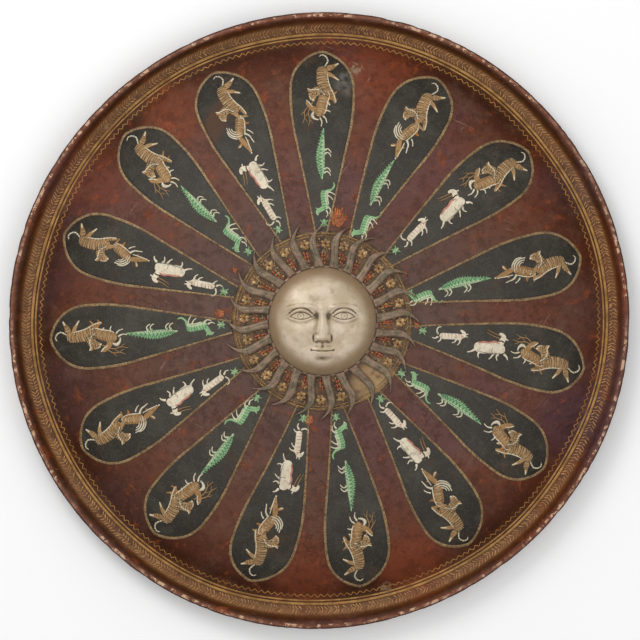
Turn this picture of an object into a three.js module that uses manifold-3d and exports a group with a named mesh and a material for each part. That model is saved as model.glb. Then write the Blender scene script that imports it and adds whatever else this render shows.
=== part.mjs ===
// A round hide shield of the Indian dhal kind, lying face up.
//
// Millimetres, +Z up through the middle of the shield. The shield rests on the flat ring under its
// rim, and the origin is on that plane, at the middle. +Y points to the top of the sun's head.
// The front carries a sun: a plate of wavy rays, and a hollow face of embossed sheet over it.
// The back carries a knuckle pad and two leather handles, each hung from two rings and staples.
import * as THREE from 'three';
import Module from 'manifold-3d';

const wasm = await Module();
wasm.setup();

// ---------------------------------------------------------------- driving dimensions
const SHIELD_RADIUS = 280;        // mean radius, out to the lip
const OVAL = 1.8;                 // the outline's departure from a circle: an oval
const OVAL_AXIS = 31;             // degrees from +X to the oval's long axis
const SQUARENESS = 0.75;          // and four faint corners
const SQUARE_AXIS = -8.6;         // degrees from +X to the first corner
const AROUND = 72;                // facets around the shield

const HIDE_THICKNESS = 7;
const DOME_EDGE_RADIUS = 254;     // where the dome meets the groove inside the rim
const DOME_RISE = 72;             // groove floor to crown
const DOME_STEPS = 8;
const RIM_CENTRE_RADIUS = 259;    // centre of the hollow moulding that turns the rim up
const RIM_CENTRE_HEIGHT = 20;
const RIM_END_ANGLE = -18;
const RIM_STEPS = 3;
const LIP_CENTRE_RADIUS = 276;
const LIP_CENTRE_HEIGHT = 19.2;
const LIP_START_ANGLE = 165;
const LIP_END_ANGLE = -50;
const LIP_STEPS = 4;

const SUN_CENTRE = [3, -0.5];     // the sun sits a little off the middle of the shield
const GAP = 0.3;                  // left between pieces that lie on each other
const PLATE_INNER_RADIUS = 34;
const PLATE_OUTER_RADIUS = 52;
const PLATE_THICKNESS = 1.4;
const PLATE_AROUND = 36;
const RAY_COUNT = 24;
const FIRST_RAY_ANGLE = 3.2;
const RAY_ROOT_RADIUS = 48.8;
const RAY_TIP_RADIUS = 84.5;
const RAY_BOW = 4.6;              // degrees that a ray's middle bows anticlockwise
const RAY_TIP_BEND = -2.2;        // degrees from its root to its tip
const RAY_HALF_WIDTH = 3.7;
const RAY_TIP_HALF_WIDTH = 0.5;
const RAY_HEIGHT = 3.6;
const RAY_TIP_HEIGHT = 1.2;
const RAY_STEPS = 5;
const RAY_BOW_END = 0.95;         // share of a ray's length over which it bows out and back
const RAY_TAPER_POWER = 2.5;
const RAY_SECTION = [[-1, 0], [-0.72, 0.68], [0, 1], [0.72, 0.68], [1, 0]];

const FACE_RADIUS = 48;
const FACE_RISE = 18;             // height of the plain bulge, before the features
const FACE_SHEET = 1.4;
const FACE_AROUND = 40;
const FACE_RINGS = 13;
const FACE_BACK_RINGS = 5;
const FACE_BULGE_POWER = 2.4;
const FACE_FADE_POWER = 8;        // how late the features fade out towards the edge

// The face's features, in shares of its radius, with their relief in millimetres.
// The eyes are one eye's width apart; brow, nose and chin divide the height in equal thirds.
const EYE_OFFSET = 0.4;
const BROW = { y: 0.26, arch: 0.9, width: 0.34, height: 0.1, relief: 1.6 };
const NOSE = { top: 0.3, tip: -0.42, width: 0.075, flare: 0.06, bridge: 1.6, relief: 4.2 };
const NOSE_LENGTH = 0.6;
const NOSE_UNDERCUT = 0.09;
const NOSE_START = { y: 0.42, length: 0.2 };
const PAIRED_HILLS = [
  { feature: 'socket', x: EYE_OFFSET, y: 0.04, width: 0.3, height: 0.15, relief: -2.4 },
  { feature: 'eyeball', x: EYE_OFFSET, y: 0.02, width: 0.19, height: 0.09, relief: 2.2 },
  { feature: 'cheek', x: 0.5, y: -0.28, width: 0.24, height: 0.24, relief: 1.0 },
];
const MIDDLE_HILLS = [
  { feature: 'lips', y: -0.57, width: 0.2, height: 0.09, relief: 2.2 },
  { feature: 'mouth line', y: -0.56, width: 0.2, height: 0.025, relief: -1.2 },
  { feature: 'chin', y: -0.82, width: 0.22, height: 0.12, relief: 1.6 },
];

const PAD_HALF_WIDTH = 42;
const PAD_THICKNESS = 13;
const PAD_EDGE_THICKNESS = 5;
const PAD_CELLS = 6;
const PAD_GAP = 0.5;
const PAD_WAIST = 0.06;           // share by which the sewn edges bow inwards

const HANDLE_OFFSET = 52;         // each handle's distance from the middle, and its staples' too
const STAPLE_GAP = 0.7;           // under a staple's flat plate, at its middle
const STAPLE_PLATE_HALF_WIDTH = 9;
const STAPLE_PLATE_THICKNESS = 1.6;
const STAPLE_HALF_SPAN = 5.6;
const STAPLE_HEIGHT = 10.5;
const STAPLE_WIRE = 2;            // radius
const STAPLE_STEPS = 6;
const RING_HALF_WIDTH = 11;
const RING_HALF_HEIGHT = 9;
const RING_SQUARENESS = 4;        // power of the ring's rounded-rectangle outline
const RING_WIRE = 1.8;            // radius
const WIRE_SIDES = 6;
const RING_STEPS = 12;
const RING_LEAN = 45;             // degrees that a ring is pulled over, towards the handle
const STRAP_LOW_HEIGHT = 30;      // middle of the handle above the ground
const STRAP_HALF_WIDTH = 12;
const STRAP_HALF_THICKNESS = 3.5;
const STRAP_END_HALF_WIDTH = 6;
const STRAP_END_HALF_THICKNESS = 2.4;
const STRAP_STEPS = 8;
const STRAP_SECTION = [[-1, 0], [-0.6, 0.85], [0.6, 0.85], [1, 0], [0.6, -0.85], [-0.6, -0.85]];
const LOOP_OUTER_RADIUS = 5.4;
const LOOP_INNER_RADIUS = 2.8;
const LOOP_FACETS = 12;

// ---------------------------------------------------------------- materials
const HIDE = new THREE.MeshStandardMaterial({ color: 0x55281c, roughness: 0.45, metalness: 0 });
const RAY_METAL = new THREE.MeshStandardMaterial({ color: 0x6a5a52, roughness: 0.5, metalness: 0.8 });
const SILVER = new THREE.MeshStandardMaterial({ color: 0xc8bea5, roughness: 0.4, metalness: 0.9 });
const IRON = new THREE.MeshStandardMaterial({ color: 0x3c3835, roughness: 0.6, metalness: 0.8 });
const STRAP_LEATHER = new THREE.MeshStandardMaterial({ color: 0x5a3521, roughness: 0.65, metalness: 0 });
const PAD_CLOTH = new THREE.MeshStandardMaterial({ color: 0x6e241c, roughness: 0.9, metalness: 0 });

// ---------------------------------------------------------------- small helpers
const rad = THREE.MathUtils.degToRad;
const lerp = THREE.MathUtils.lerp;

function meshFrom(points, triangles) {
  // A closed body from points and triangles, turned right side out if it was wound inwards.
  let volume = 0;
  for (const [a, b, c] of triangles) {
    const cross = new THREE.Vector3(...points[b]).cross(new THREE.Vector3(...points[c]));
    volume += cross.dot(new THREE.Vector3(...points[a]));
  }
  const wound = volume > 0 ? triangles : triangles.map(([a, b, c]) => [a, c, b]);
  const geometry = new THREE.BufferGeometry();
  geometry.setAttribute('position', new THREE.Float32BufferAttribute(points.flat(), 3));
  geometry.setIndex(wound.flat());
  return geometry;
}

function loft(rings, joined = false) {
  // Skins a row of equal rings of points. The ends are capped, or joined to each other.
  const sides = rings[0].length;
  const triangles = [];
  const spans = joined ? rings.length : rings.length - 1;
  for (let i = 0; i < spans; i += 1) {
    const next = (i + 1) % rings.length;
    for (let j = 0; j < sides; j += 1) {
      const k = (j + 1) % sides;
      triangles.push([i * sides + j, i * sides + k, next * sides + k]);
      triangles.push([i * sides + j, next * sides + k, next * sides + j]);
    }
  }
  const last = (rings.length - 1) * sides;
  for (let j = 1; j < sides - 1 && !joined; j += 1) {
    triangles.push([0, j + 1, j]);
    triangles.push([last, last + j, last + j + 1]);
  }
  return meshFrom(rings.flat(), triangles);
}

function toManifold(geometry) {
  const mesh = new wasm.Mesh({
    numProp: 3,
    vertProperties: new Float32Array(geometry.attributes.position.array),
    triVerts: new Uint32Array(geometry.index.array),
  });
  return new wasm.Manifold(mesh);
}

function fromManifold(solid) {
  const { vertProperties, triVerts } = solid.getMesh();
  const geometry = new THREE.BufferGeometry();
  geometry.setAttribute('position', new THREE.Float32BufferAttribute(vertProperties, 3));
  geometry.setIndex([...triVerts]);
  return geometry;
}

function joined(geometries) {
  return geometries.map(toManifold).reduce((whole, piece) => whole.add(piece));
}

function arc(centreX, centreY, radius, from, to, steps) {
  // Points on a circular arc, from one angle in degrees to another.
  const points = [];
  for (let i = 0; i <= steps; i += 1) {
    const angle = rad(lerp(from, to, i / steps));
    points.push([centreX + radius * Math.cos(angle), centreY + radius * Math.sin(angle)]);
  }
  return points;
}

function wireRing(centre, across, out, radius) {
  // One round section of a wire: its centre, and two unit directions that span the section.
  const ring = [];
  for (let j = 0; j < WIRE_SIDES; j += 1) {
    const angle = (2 * Math.PI * j) / WIRE_SIDES;
    const point = new THREE.Vector3(...centre);
    point.addScaledVector(across, radius * Math.cos(angle));
    point.addScaledVector(out, radius * Math.sin(angle));
    ring.push(point.toArray());
  }
  return ring;
}

function mergedBox(box) {
  // The box's eight corners and twelve triangles, with nothing shared twice.
  const keys = new Map();
  const points = [];
  const index = [];
  for (const i of box.index.array) {
    const point = new THREE.Vector3().fromBufferAttribute(box.attributes.position, i).toArray();
    const key = point.join();
    if (!keys.has(key)) {
      keys.set(key, points.push(point) - 1);
    }
    index.push(keys.get(key));
  }
  const triangles = [];
  for (let i = 0; i < index.length; i += 3) {
    triangles.push(index.slice(i, i + 3));
  }
  return meshFrom(points, triangles);
}

// ---------------------------------------------------------------- the hide
const CROWN_HEIGHT = HIDE_THICKNESS + DOME_RISE;
const DOME_RADIUS = (DOME_EDGE_RADIUS ** 2 + DOME_RISE ** 2) / (2 * DOME_RISE);
const DOME_CENTRE_HEIGHT = CROWN_HEIGHT - DOME_RADIUS;
const HOLLOW_RADIUS = DOME_RADIUS - HIDE_THICKNESS;

function frontHeight(x, y) {
  // Height of the dome's front at a place on it.
  return DOME_CENTRE_HEIGHT + Math.sqrt(DOME_RADIUS ** 2 - x * x - y * y);
}

function backHeight(x, y) {
  // Height of the ceiling of the hollow behind the dome.
  return DOME_CENTRE_HEIGHT + Math.sqrt(HOLLOW_RADIUS ** 2 - x * x - y * y);
}

function outOfRound(angle) {
  // The outline's radius at an angle, as a share of the mean radius.
  const oval = OVAL * Math.cos(2 * (angle - rad(OVAL_AXIS)));
  const square = SQUARENESS * Math.cos(4 * (angle - rad(SQUARE_AXIS)));
  return 1 + (oval + square) / SHIELD_RADIUS;
}

function hideProfile() {
  // Radius and height, from the crown out over the lip and back underneath to the axis.
  const front = [];
  for (let i = 0; i <= DOME_STEPS; i += 1) {
    const radius = (DOME_EDGE_RADIUS * i) / DOME_STEPS;
    front.push([radius, frontHeight(radius, 0)]);
  }
  const underRadius = RIM_CENTRE_HEIGHT;
  const moulding = arc(RIM_CENTRE_RADIUS, RIM_CENTRE_HEIGHT, underRadius - HIDE_THICKNESS,
    -90, RIM_END_ANGLE, RIM_STEPS);
  const lip = arc(LIP_CENTRE_RADIUS, LIP_CENTRE_HEIGHT, SHIELD_RADIUS - LIP_CENTRE_RADIUS,
    LIP_START_ANGLE, LIP_END_ANGLE, LIP_STEPS);
  const under = arc(RIM_CENTRE_RADIUS, RIM_CENTRE_HEIGHT, underRadius,
    RIM_END_ANGLE, -90, RIM_STEPS);
  const footRadius = Math.sqrt(HOLLOW_RADIUS ** 2 - DOME_CENTRE_HEIGHT ** 2);
  const back = [];
  for (let i = DOME_STEPS; i >= 0; i -= 1) {
    const radius = (footRadius * i) / DOME_STEPS;
    back.push([radius, backHeight(radius, 0)]);
  }
  return [...front, ...moulding, ...lip, ...under, ...back];
}

function hideGeometry() {
  const profile = hideProfile().map(([radius, height]) => new THREE.Vector2(radius, height));
  const geometry = new THREE.LatheGeometry(profile.reverse(), AROUND);
  geometry.rotateX(Math.PI / 2);
  const position = geometry.attributes.position;
  for (let i = 0; i < position.count; i += 1) {
    const x = position.getX(i);
    const y = position.getY(i);
    const share = Math.min(1, (x * x + y * y) / SHIELD_RADIUS ** 2);
    const stretch = 1 + (outOfRound(Math.atan2(y, x)) - 1) * share;
    position.setXY(i, x * stretch, y * stretch);
  }
  return geometry;
}

// ---------------------------------------------------------------- the sun
function onSun(radius, angle, lift) {
  // A point of the sun: polar about the sun's centre, lifted off the dome's front.
  const x = SUN_CENTRE[0] + radius * Math.cos(angle);
  const y = SUN_CENTRE[1] + radius * Math.sin(angle);
  return [x, y, frontHeight(x, y) + lift];
}

function plateGeometry() {
  // The flat ring that joins the rays, hidden under the edge of the face.
  const rings = [];
  for (let i = 0; i < PLATE_AROUND; i += 1) {
    const angle = (2 * Math.PI * i) / PLATE_AROUND;
    rings.push([
      onSun(PLATE_INNER_RADIUS, angle, GAP),
      onSun(PLATE_OUTER_RADIUS, angle, GAP),
      onSun(PLATE_OUTER_RADIUS, angle, GAP + PLATE_THICKNESS),
      onSun(PLATE_INNER_RADIUS, angle, GAP + PLATE_THICKNESS),
    ]);
  }
  return loft(rings, true);
}

function rayGeometry(index) {
  // One wavy ray: it bows one way, then its tip bends back the other way and thins to a point.
  const rootAngle = rad(FIRST_RAY_ANGLE + (360 / RAY_COUNT) * index);
  const rings = [];
  for (let i = 0; i <= RAY_STEPS; i += 1) {
    const t = i / RAY_STEPS;
    const radius = lerp(RAY_ROOT_RADIUS, RAY_TIP_RADIUS, t);
    const bow = Math.sin(Math.PI * Math.min(1, t * RAY_BOW_END));
    const turn = RAY_BOW * bow + RAY_TIP_BEND * t * t;
    const taper = Math.sqrt(1 - t ** RAY_TAPER_POWER);
    const halfWidth = lerp(RAY_TIP_HALF_WIDTH, RAY_HALF_WIDTH, taper);
    const height = lerp(RAY_TIP_HEIGHT, RAY_HEIGHT, taper);
    const middle = rootAngle + rad(turn);
    rings.push(RAY_SECTION.map(([across, up]) => (
      onSun(radius, middle + (across * halfWidth) / radius, GAP + up * height))));
  }
  return loft(rings);
}

function rayPlateGeometry() {
  const pieces = [plateGeometry()];
  for (let i = 0; i < RAY_COUNT; i += 1) {
    pieces.push(rayGeometry(i));
  }
  return fromManifold(joined(pieces));
}

function hill(x, y, width, height) {
  return Math.exp(-((x / width) ** 2) - ((y / height) ** 2));
}

function features(x, y) {
  // The face's relief over its plain bulge, in millimetres. x and y are shares of its radius.
  const side = Math.abs(x);
  const across = side - EYE_OFFSET;
  const browLine = BROW.y - BROW.arch * across ** 2;
  let relief = BROW.relief * hill(y - browLine, across, BROW.height, BROW.width);
  const down = THREE.MathUtils.smoothstep(NOSE.top - y, 0, NOSE_LENGTH);
  const start = THREE.MathUtils.smoothstep(NOSE_START.y - y, 0, NOSE_START.length);
  const end = THREE.MathUtils.smoothstep(y - NOSE.tip, 0, NOSE_UNDERCUT);
  const ridge = hill(x, 0, NOSE.width + NOSE.flare * down, 1);
  relief += (NOSE.bridge + NOSE.relief * down) * start * end * ridge;
  for (const bump of PAIRED_HILLS) {
    relief += bump.relief * hill(side - bump.x, y - bump.y, bump.width, bump.height);
  }
  for (const bump of MIDDLE_HILLS) {
    relief += bump.relief * hill(x, y - bump.y, bump.width, bump.height);
  }
  return relief;
}

function faceGeometry() {
  // A hollow bowl of sheet: rings down the outside to its edge, then rings back up inside.
  const base = 2 * GAP + PLATE_THICKNESS;
  const shell = (share, radius, rise, angle) => {
    const x = share * Math.cos(angle);
    const y = share * Math.sin(angle);
    const bulge = rise * Math.sqrt(1 - share ** FACE_BULGE_POWER);
    const fade = 1 - share ** FACE_FADE_POWER;
    const reach = (share * radius) / FACE_RADIUS;
    const relief = features(reach * Math.cos(angle), reach * Math.sin(angle));
    return onSun(radius * Math.hypot(x, y), angle, base + bulge + relief * fade);
  };
  const profile = [];
  for (let i = 1; i <= FACE_RINGS; i += 1) {
    profile.push([Math.sin((Math.PI / 2) * (i / FACE_RINGS)), FACE_RADIUS, FACE_RISE]);
  }
  for (let i = FACE_BACK_RINGS; i >= 1; i -= 1) {
    const share = Math.sin((Math.PI / 2) * (i / FACE_BACK_RINGS));
    profile.push([share, FACE_RADIUS - FACE_SHEET, FACE_RISE - FACE_SHEET]);
  }
  const points = [];
  for (const [share, radius, rise] of profile) {
    for (let j = 0; j < FACE_AROUND; j += 1) {
      points.push(shell(share, radius, rise, (2 * Math.PI * j) / FACE_AROUND));
    }
  }
  const triangles = [];
  for (let i = 0; i < profile.length - 1; i += 1) {
    for (let j = 0; j < FACE_AROUND; j += 1) {
      const k = (j + 1) % FACE_AROUND;
      const here = i * FACE_AROUND;
      const next = here + FACE_AROUND;
      triangles.push([here + j, next + k, here + k], [here + j, next + j, next + k]);
    }
  }
  const top = points.push(shell(0, FACE_RADIUS, FACE_RISE, 0)) - 1;
  const inside = points.push(shell(0, FACE_RADIUS, FACE_RISE - FACE_SHEET, 0)) - 1;
  const lastRing = (profile.length - 1) * FACE_AROUND;
  for (let j = 0; j < FACE_AROUND; j += 1) {
    const k = (j + 1) % FACE_AROUND;
    triangles.push([top, j, k], [inside, lastRing + k, lastRing + j]);
  }
  return meshFrom(points, triangles);
}

// ---------------------------------------------------------------- the back
function padGeometry() {
  // A square stuffed pad that follows the hollow: two grids of points, sewn along their edges.
  const side = PAD_CELLS + 1;
  const layer = (under) => {
    const points = [];
    for (let j = 0; j < side; j += 1) {
      for (let i = 0; i < side; i += 1) {
        const u = (2 * i) / PAD_CELLS - 1;
        const v = (2 * j) / PAD_CELLS - 1;
        const x = u * PAD_HALF_WIDTH * (1 - PAD_WAIST * v * v);
        const y = v * PAD_HALF_WIDTH * (1 - PAD_WAIST * u * u);
        const crown = Math.sqrt((1 - u ** 4) * (1 - v ** 4));
        const thickness = under ? lerp(PAD_EDGE_THICKNESS, PAD_THICKNESS, crown) : 0;
        points.push([x, y, backHeight(x, y) - PAD_GAP - thickness]);
      }
    }
    return points;
  };
  const points = [...layer(true), ...layer(false)];
  const count = side * side;
  const triangles = [];
  for (let j = 0; j < PAD_CELLS; j += 1) {
    for (let i = 0; i < PAD_CELLS; i += 1) {
      const a = j * side + i;
      triangles.push([a, a + side + 1, a + 1], [a, a + side, a + side + 1]);
      triangles.push([count + a, count + a + 1, count + a + side + 1]);
      triangles.push([count + a, count + a + side + 1, count + a + side]);
    }
  }
  const edge = [];
  for (let i = 0; i < PAD_CELLS; i += 1) {
    edge.push([i, i + 1]);
    edge.push([i * side + PAD_CELLS, (i + 1) * side + PAD_CELLS]);
    edge.push([PAD_CELLS * side + i + 1, PAD_CELLS * side + i]);
    edge.push([(i + 1) * side, i * side]);
  }
  for (const [a, b] of edge) {
    triangles.push([a, b, count + b], [a, count + b, count + a]);
  }
  return meshFrom(points, triangles);
}

// A handle is laid out in the plane y = 0 about the centre of the dome's sphere, then swung
// about the X axis through that centre, so that it stands square to the hide.
const STAPLE_ANGLE = Math.asin(HANDLE_OFFSET / HOLLOW_RADIUS);
const EYE_DROP = STAPLE_HEIGHT - 2 * STAPLE_WIRE - RING_WIRE - GAP;
const EYE_RADIUS = HOLLOW_RADIUS - STAPLE_GAP - EYE_DROP;

function stapleGeometry() {
  // A square plate against the hide, and a wire arch hanging from it. Its outer face is at z = 0.
  const side = STAPLE_PLATE_HALF_WIDTH;
  const plate = new THREE.BoxGeometry(2 * side, 2 * side, STAPLE_PLATE_THICKNESS);
  plate.translate(0, 0, -STAPLE_PLATE_THICKNESS / 2);
  plate.deleteAttribute('normal');
  plate.deleteAttribute('uv');
  const rings = [];
  for (let i = 0; i <= STAPLE_STEPS; i += 1) {
    const angle = Math.PI * (i / STAPLE_STEPS);
    const out = new THREE.Vector3(Math.cos(angle), 0, -Math.sin(angle));
    const drop = lerp(STAPLE_PLATE_THICKNESS / 2, STAPLE_HEIGHT - STAPLE_WIRE, Math.sin(angle));
    const centre = [STAPLE_HALF_SPAN * out.x, 0, -drop];
    rings.push(wireRing(centre, out, new THREE.Vector3(0, 1, 0), STAPLE_WIRE));
  }
  return fromManifold(joined([mergedBox(plate), loft(rings)]));
}

function ringGeometry() {
  // A rounded-rectangle ring in the YZ plane, its top bar's centre at the origin.
  const rings = [];
  for (let i = 0; i < RING_STEPS; i += 1) {
    const angle = (2 * Math.PI * i) / RING_STEPS;
    const power = 2 / RING_SQUARENESS;
    const c = Math.cos(angle);
    const s = Math.sin(angle);
    const y = RING_HALF_WIDTH * Math.sign(c) * Math.abs(c) ** power;
    const z = RING_HALF_HEIGHT * Math.sign(s) * Math.abs(s) ** power;
    const out = new THREE.Vector3(0, c, s);
    const centre = [0, y, z - RING_HALF_HEIGHT];
    rings.push(wireRing(centre, out, new THREE.Vector3(1, 0, 0), RING_WIRE));
  }
  return loft(rings, true);
}

function barPlace() {
  // Where a ring's lower bar hangs, in the handle's plane: half the strap's span, and its height.
  const eyeX = EYE_RADIUS * Math.sin(STAPLE_ANGLE);
  const eyeZ = EYE_RADIUS * Math.cos(STAPLE_ANGLE) + DOME_CENTRE_HEIGHT;
  const reach = 2 * RING_HALF_HEIGHT;
  return [eyeX - reach * Math.sin(rad(RING_LEAN)), eyeZ - reach * Math.cos(rad(RING_LEAN))];
}

function loopCylinder(x, z, radius, halfLength) {
  const cylinder = arc(x, z, radius, 0, 360 - 360 / LOOP_FACETS, LOOP_FACETS - 1);
  return loft([-halfLength, halfLength].map((y) => cylinder.map(([px, pz]) => [px, y, pz])));
}

function strapGeometry() {
  // A slack leather handle with a sewn loop at each end, around the lower bar of its ring.
  const [halfSpan, endHeight] = barPlace();
  const bodyHalfSpan = halfSpan - LOOP_INNER_RADIUS;
  const rings = [];
  for (let i = 0; i <= STRAP_STEPS; i += 1) {
    const t = (2 * i) / STRAP_STEPS - 1;
    const x = t * bodyHalfSpan;
    const sag = (endHeight - STRAP_LOW_HEIGHT) * (x / halfSpan) ** 2;
    const slope = (2 * (endHeight - STRAP_LOW_HEIGHT) * x) / halfSpan ** 2;
    const normal = new THREE.Vector2(-slope, 1).normalize();
    const fullness = (1 - t ** 4) ** 0.5;
    const halfWidth = lerp(STRAP_END_HALF_WIDTH, STRAP_HALF_WIDTH, fullness);
    const halfThickness = lerp(STRAP_END_HALF_THICKNESS, STRAP_HALF_THICKNESS, fullness);
    rings.push(STRAP_SECTION.map(([across, up]) => [
      x + up * halfThickness * normal.x,
      across * halfWidth,
      STRAP_LOW_HEIGHT + sag + up * halfThickness * normal.y,
    ]));
  }
  let strap = toManifold(loft(rings));
  for (const side of [-1, 1]) {
    const outside = loopCylinder(side * halfSpan, endHeight, LOOP_OUTER_RADIUS, STRAP_END_HALF_WIDTH);
    strap = strap.add(toManifold(outside));
  }
  for (const side of [-1, 1]) {
    const inside = loopCylinder(side * halfSpan, endHeight, LOOP_INNER_RADIUS, STRAP_HALF_WIDTH);
    strap = strap.subtract(toManifold(inside));
  }
  return fromManifold(strap);
}

// ---------------------------------------------------------------- the assembly
function named(name, geometry, material) {
  const mesh = new THREE.Mesh(geometry, material);
  mesh.name = name;
  return mesh;
}

function handleGroup(place, swing) {
  // One handle with its two rings and staples, swung about the dome's centre.
  const handle = new THREE.Group();
  handle.position.z = DOME_CENTRE_HEIGHT;
  handle.rotation.x = -swing;
  const strap = named(`handle_${place}`, strapGeometry(), STRAP_LEATHER);
  strap.position.z = -DOME_CENTRE_HEIGHT;
  handle.add(strap);
  for (const [word, side] of [['left', -1], ['right', 1]]) {
    const corner = new THREE.Group();
    corner.rotation.y = side * STAPLE_ANGLE;
    const staple = named(`staple_${place}_${word}`, stapleGeometry(), IRON);
    staple.position.z = HOLLOW_RADIUS - STAPLE_GAP;
    corner.add(staple);
    const ring = named(`ring_${place}_${word}`, ringGeometry(), IRON);
    ring.position.set(side * EYE_RADIUS * Math.sin(STAPLE_ANGLE), 0, EYE_RADIUS * Math.cos(STAPLE_ANGLE));
    ring.rotation.y = side * rad(RING_LEAN);
    handle.add(corner, ring);
  }
  return handle;
}

const shield = new THREE.Group();
shield.add(named('hide_shell', hideGeometry(), HIDE));
shield.add(named('ray_plate', rayPlateGeometry(), RAY_METAL));
shield.add(named('sun_face', faceGeometry(), SILVER));
shield.add(named('knuckle_pad', padGeometry(), PAD_CLOTH));
shield.add(handleGroup('upper', STAPLE_ANGLE));
shield.add(handleGroup('lower', -STAPLE_ANGLE));

export default shield;
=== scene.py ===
"""Looks of a round Indian hide shield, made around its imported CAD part.

The shield lies face up, +Z out of its front and +Y towards the top of the sun's head. Lengths here
are millimetres until a mesh is made, and angles are degrees anticlockwise from +X. A painted thing
is drawn with brush strokes: closed meshes of thick paint that lie on the hide or on a petal.
"""

import math
import random

import bmesh
import bpy
import numpy as np
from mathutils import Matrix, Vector


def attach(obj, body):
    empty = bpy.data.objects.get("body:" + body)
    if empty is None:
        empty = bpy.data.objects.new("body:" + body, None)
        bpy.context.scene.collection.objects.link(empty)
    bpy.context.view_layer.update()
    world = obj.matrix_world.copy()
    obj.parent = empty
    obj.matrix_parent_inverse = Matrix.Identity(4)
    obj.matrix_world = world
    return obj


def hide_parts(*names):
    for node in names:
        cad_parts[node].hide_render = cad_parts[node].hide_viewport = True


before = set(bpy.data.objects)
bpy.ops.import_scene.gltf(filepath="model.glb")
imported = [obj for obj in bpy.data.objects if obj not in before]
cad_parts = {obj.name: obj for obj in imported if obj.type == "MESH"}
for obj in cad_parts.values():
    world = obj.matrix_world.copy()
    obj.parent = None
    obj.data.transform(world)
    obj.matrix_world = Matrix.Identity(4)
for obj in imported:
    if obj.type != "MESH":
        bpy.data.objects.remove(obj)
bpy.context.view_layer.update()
MM = 0.001

# ---------------------------------------------------------------- dimensions, as in the CAD part
SHIELD_RADIUS = 280.0
OVAL, OVAL_AXIS = 1.8, 31.0
SQUARENESS, SQUARE_AXIS = 0.75, -8.6
HIDE_THICKNESS = 7.0
DOME_EDGE_RADIUS = 254.0
DOME_RISE = 72.0
RIM_CENTRE_RADIUS, RIM_CENTRE_HEIGHT = 259.0, 20.0
RIM_END_ANGLE = -18.0
LIP_CENTRE_RADIUS, LIP_CENTRE_HEIGHT = 276.0, 19.2
LIP_START_ANGLE, LIP_END_ANGLE = 165.0, -50.0
SUN_CENTRE = np.array([3.0, -0.5])

CROWN_HEIGHT = HIDE_THICKNESS + DOME_RISE
DOME_RADIUS = (DOME_EDGE_RADIUS ** 2 + DOME_RISE ** 2) / (2 * DOME_RISE)
DOME_CENTRE_HEIGHT = CROWN_HEIGHT - DOME_RADIUS
HOLLOW_RADIUS = DOME_RADIUS - HIDE_THICKNESS
CAVETTO_RADIUS = RIM_CENTRE_HEIGHT - HIDE_THICKNESS

# How far the rim's moulding and its gilding wander from their circle: lobes, reach, first lobe's angle.
WANDER = [(1, 0.7, 67.0), (3, 0.65, -16.0), (6, 0.65, 6.0), (11, 0.3, 20.0)]

# ---------------------------------------------------------------- the painted design
PETAL_TIP_ANGLES = [89.4, 64.0, 39.0, 13.8, -10.4, -33.2, -56.0, -81.0,
                    -104.8, -127.6, -151.6, -176.0, -198.8, -223.8, -246.8]
PETAL_ROOT_LEANS = [-0.8, 2.4, 1.9, 1.3, 2.8, 2.1, 2.3, 2.9, 4.0, 0.8, 0.4, 0.2, 0.0, 0.6, -0.8]
PETALS_WITH_WHITE_ANIMALS = {2, 4, 6, 8, 10, 12, 14}
PETALS_WITH_DOE = {1, 3, 6, 8, 10, 12, 14}
PETAL_ROOT_RADIUS, PETAL_TIP_RADIUS = 78.0, 244.4
PETAL_WIDEST_RADIUS, PETAL_HALF_WIDTH = 206.0, 28.6
PETAL_STRAIGHT_END = 163.0       # a petal's sides are straight from the root to here
PETAL_STRAIGHT_INSET, PETAL_STRAIGHT_SLOPE = 5.2, 0.217
PETAL_SIDE_CURVE = 0.00279
PETAL_TIP_POWERS = (2.6, 0.7)
PETAL_LIFT = 0.25
FILL_LIFT = 0.34                 # the edge of a patch of colour on a petal
FILL_CROWN = 0.16
STROKE_SINK = 0.25               # how deep a stroke's keel goes below the surface it lies on
SHEET_SINK = 0.3                 # and a petal's or a rim line's
MARK_LIFT = 0.62                 # the top of a thin line of colour

ZIGZAG_RADIUS = 252.4
ZIGZAG_TEETH = 262
GOLD_LINE_RADII = (256.9, 260.0)

# ---------------------------------------------------------------- meshes
FILL_SECTION = [(-1.0, 0.0), (-0.82, 0.75), (0.0, 1.0), (0.82, 0.75), (1.0, 0.0)]
MARK_SECTION = [(-1.0, 0.0), (0.0, 1.0), (1.0, 0.0)]
ROUND_END = [0.02, 0.13, 0.35, 0.66, 1.0]       # distances from a broad stroke's end, in half widths
SHORT_END = [0.05, 0.40, 1.0]                   # and from a thin one's

# ---------------------------------------------------------------- painted petals
CROCODILE_LENGTH = 47.0
PAINTS = {
    # paint: main colour, worn colour, how far it is worn
    "tan": ("A4825A", "6E5638", 0.4), "deer": ("A07C52", "6C5234", 0.4), "tawny": ("A4703C", "5E4630", 0.4),
    "cream": ("D8CDB2", "A2987E", 0.4), "dark": ("33291E", "4E4232", 0.3),
    "brown_line": ("5E4228", "4A3826", 0.4), "deep_brown": ("3A281C", "4E3C2E", 0.3),
    "green": ("8CAE7E", "5E8262", 0.45), "light_green": ("B4C89E", "8AA47E", 0.35),
    "deep_green": ("2F6E50", "4A6E54", 0.4),
    "white": ("DCD0B8", "A0937C", 0.45), "pink": ("BE8270", "8C6658", 0.4), "red": ("A8472E", "6E3A28", 0.3),
    "grey_line": ("7A7266", "8B857A", 0.4),
}

# ---------------------------------------------------------------- the ornament round the sun
RAY_COUNT, FIRST_RAY_ANGLE = 24, 3.2
ORNAMENT_INNER, ORNAMENT_OUTER = 46.0, 80.5
WORN_PATCH = (-63.0, -37.0)       # where the ornament is rubbed away to a plain gold-brown

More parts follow.
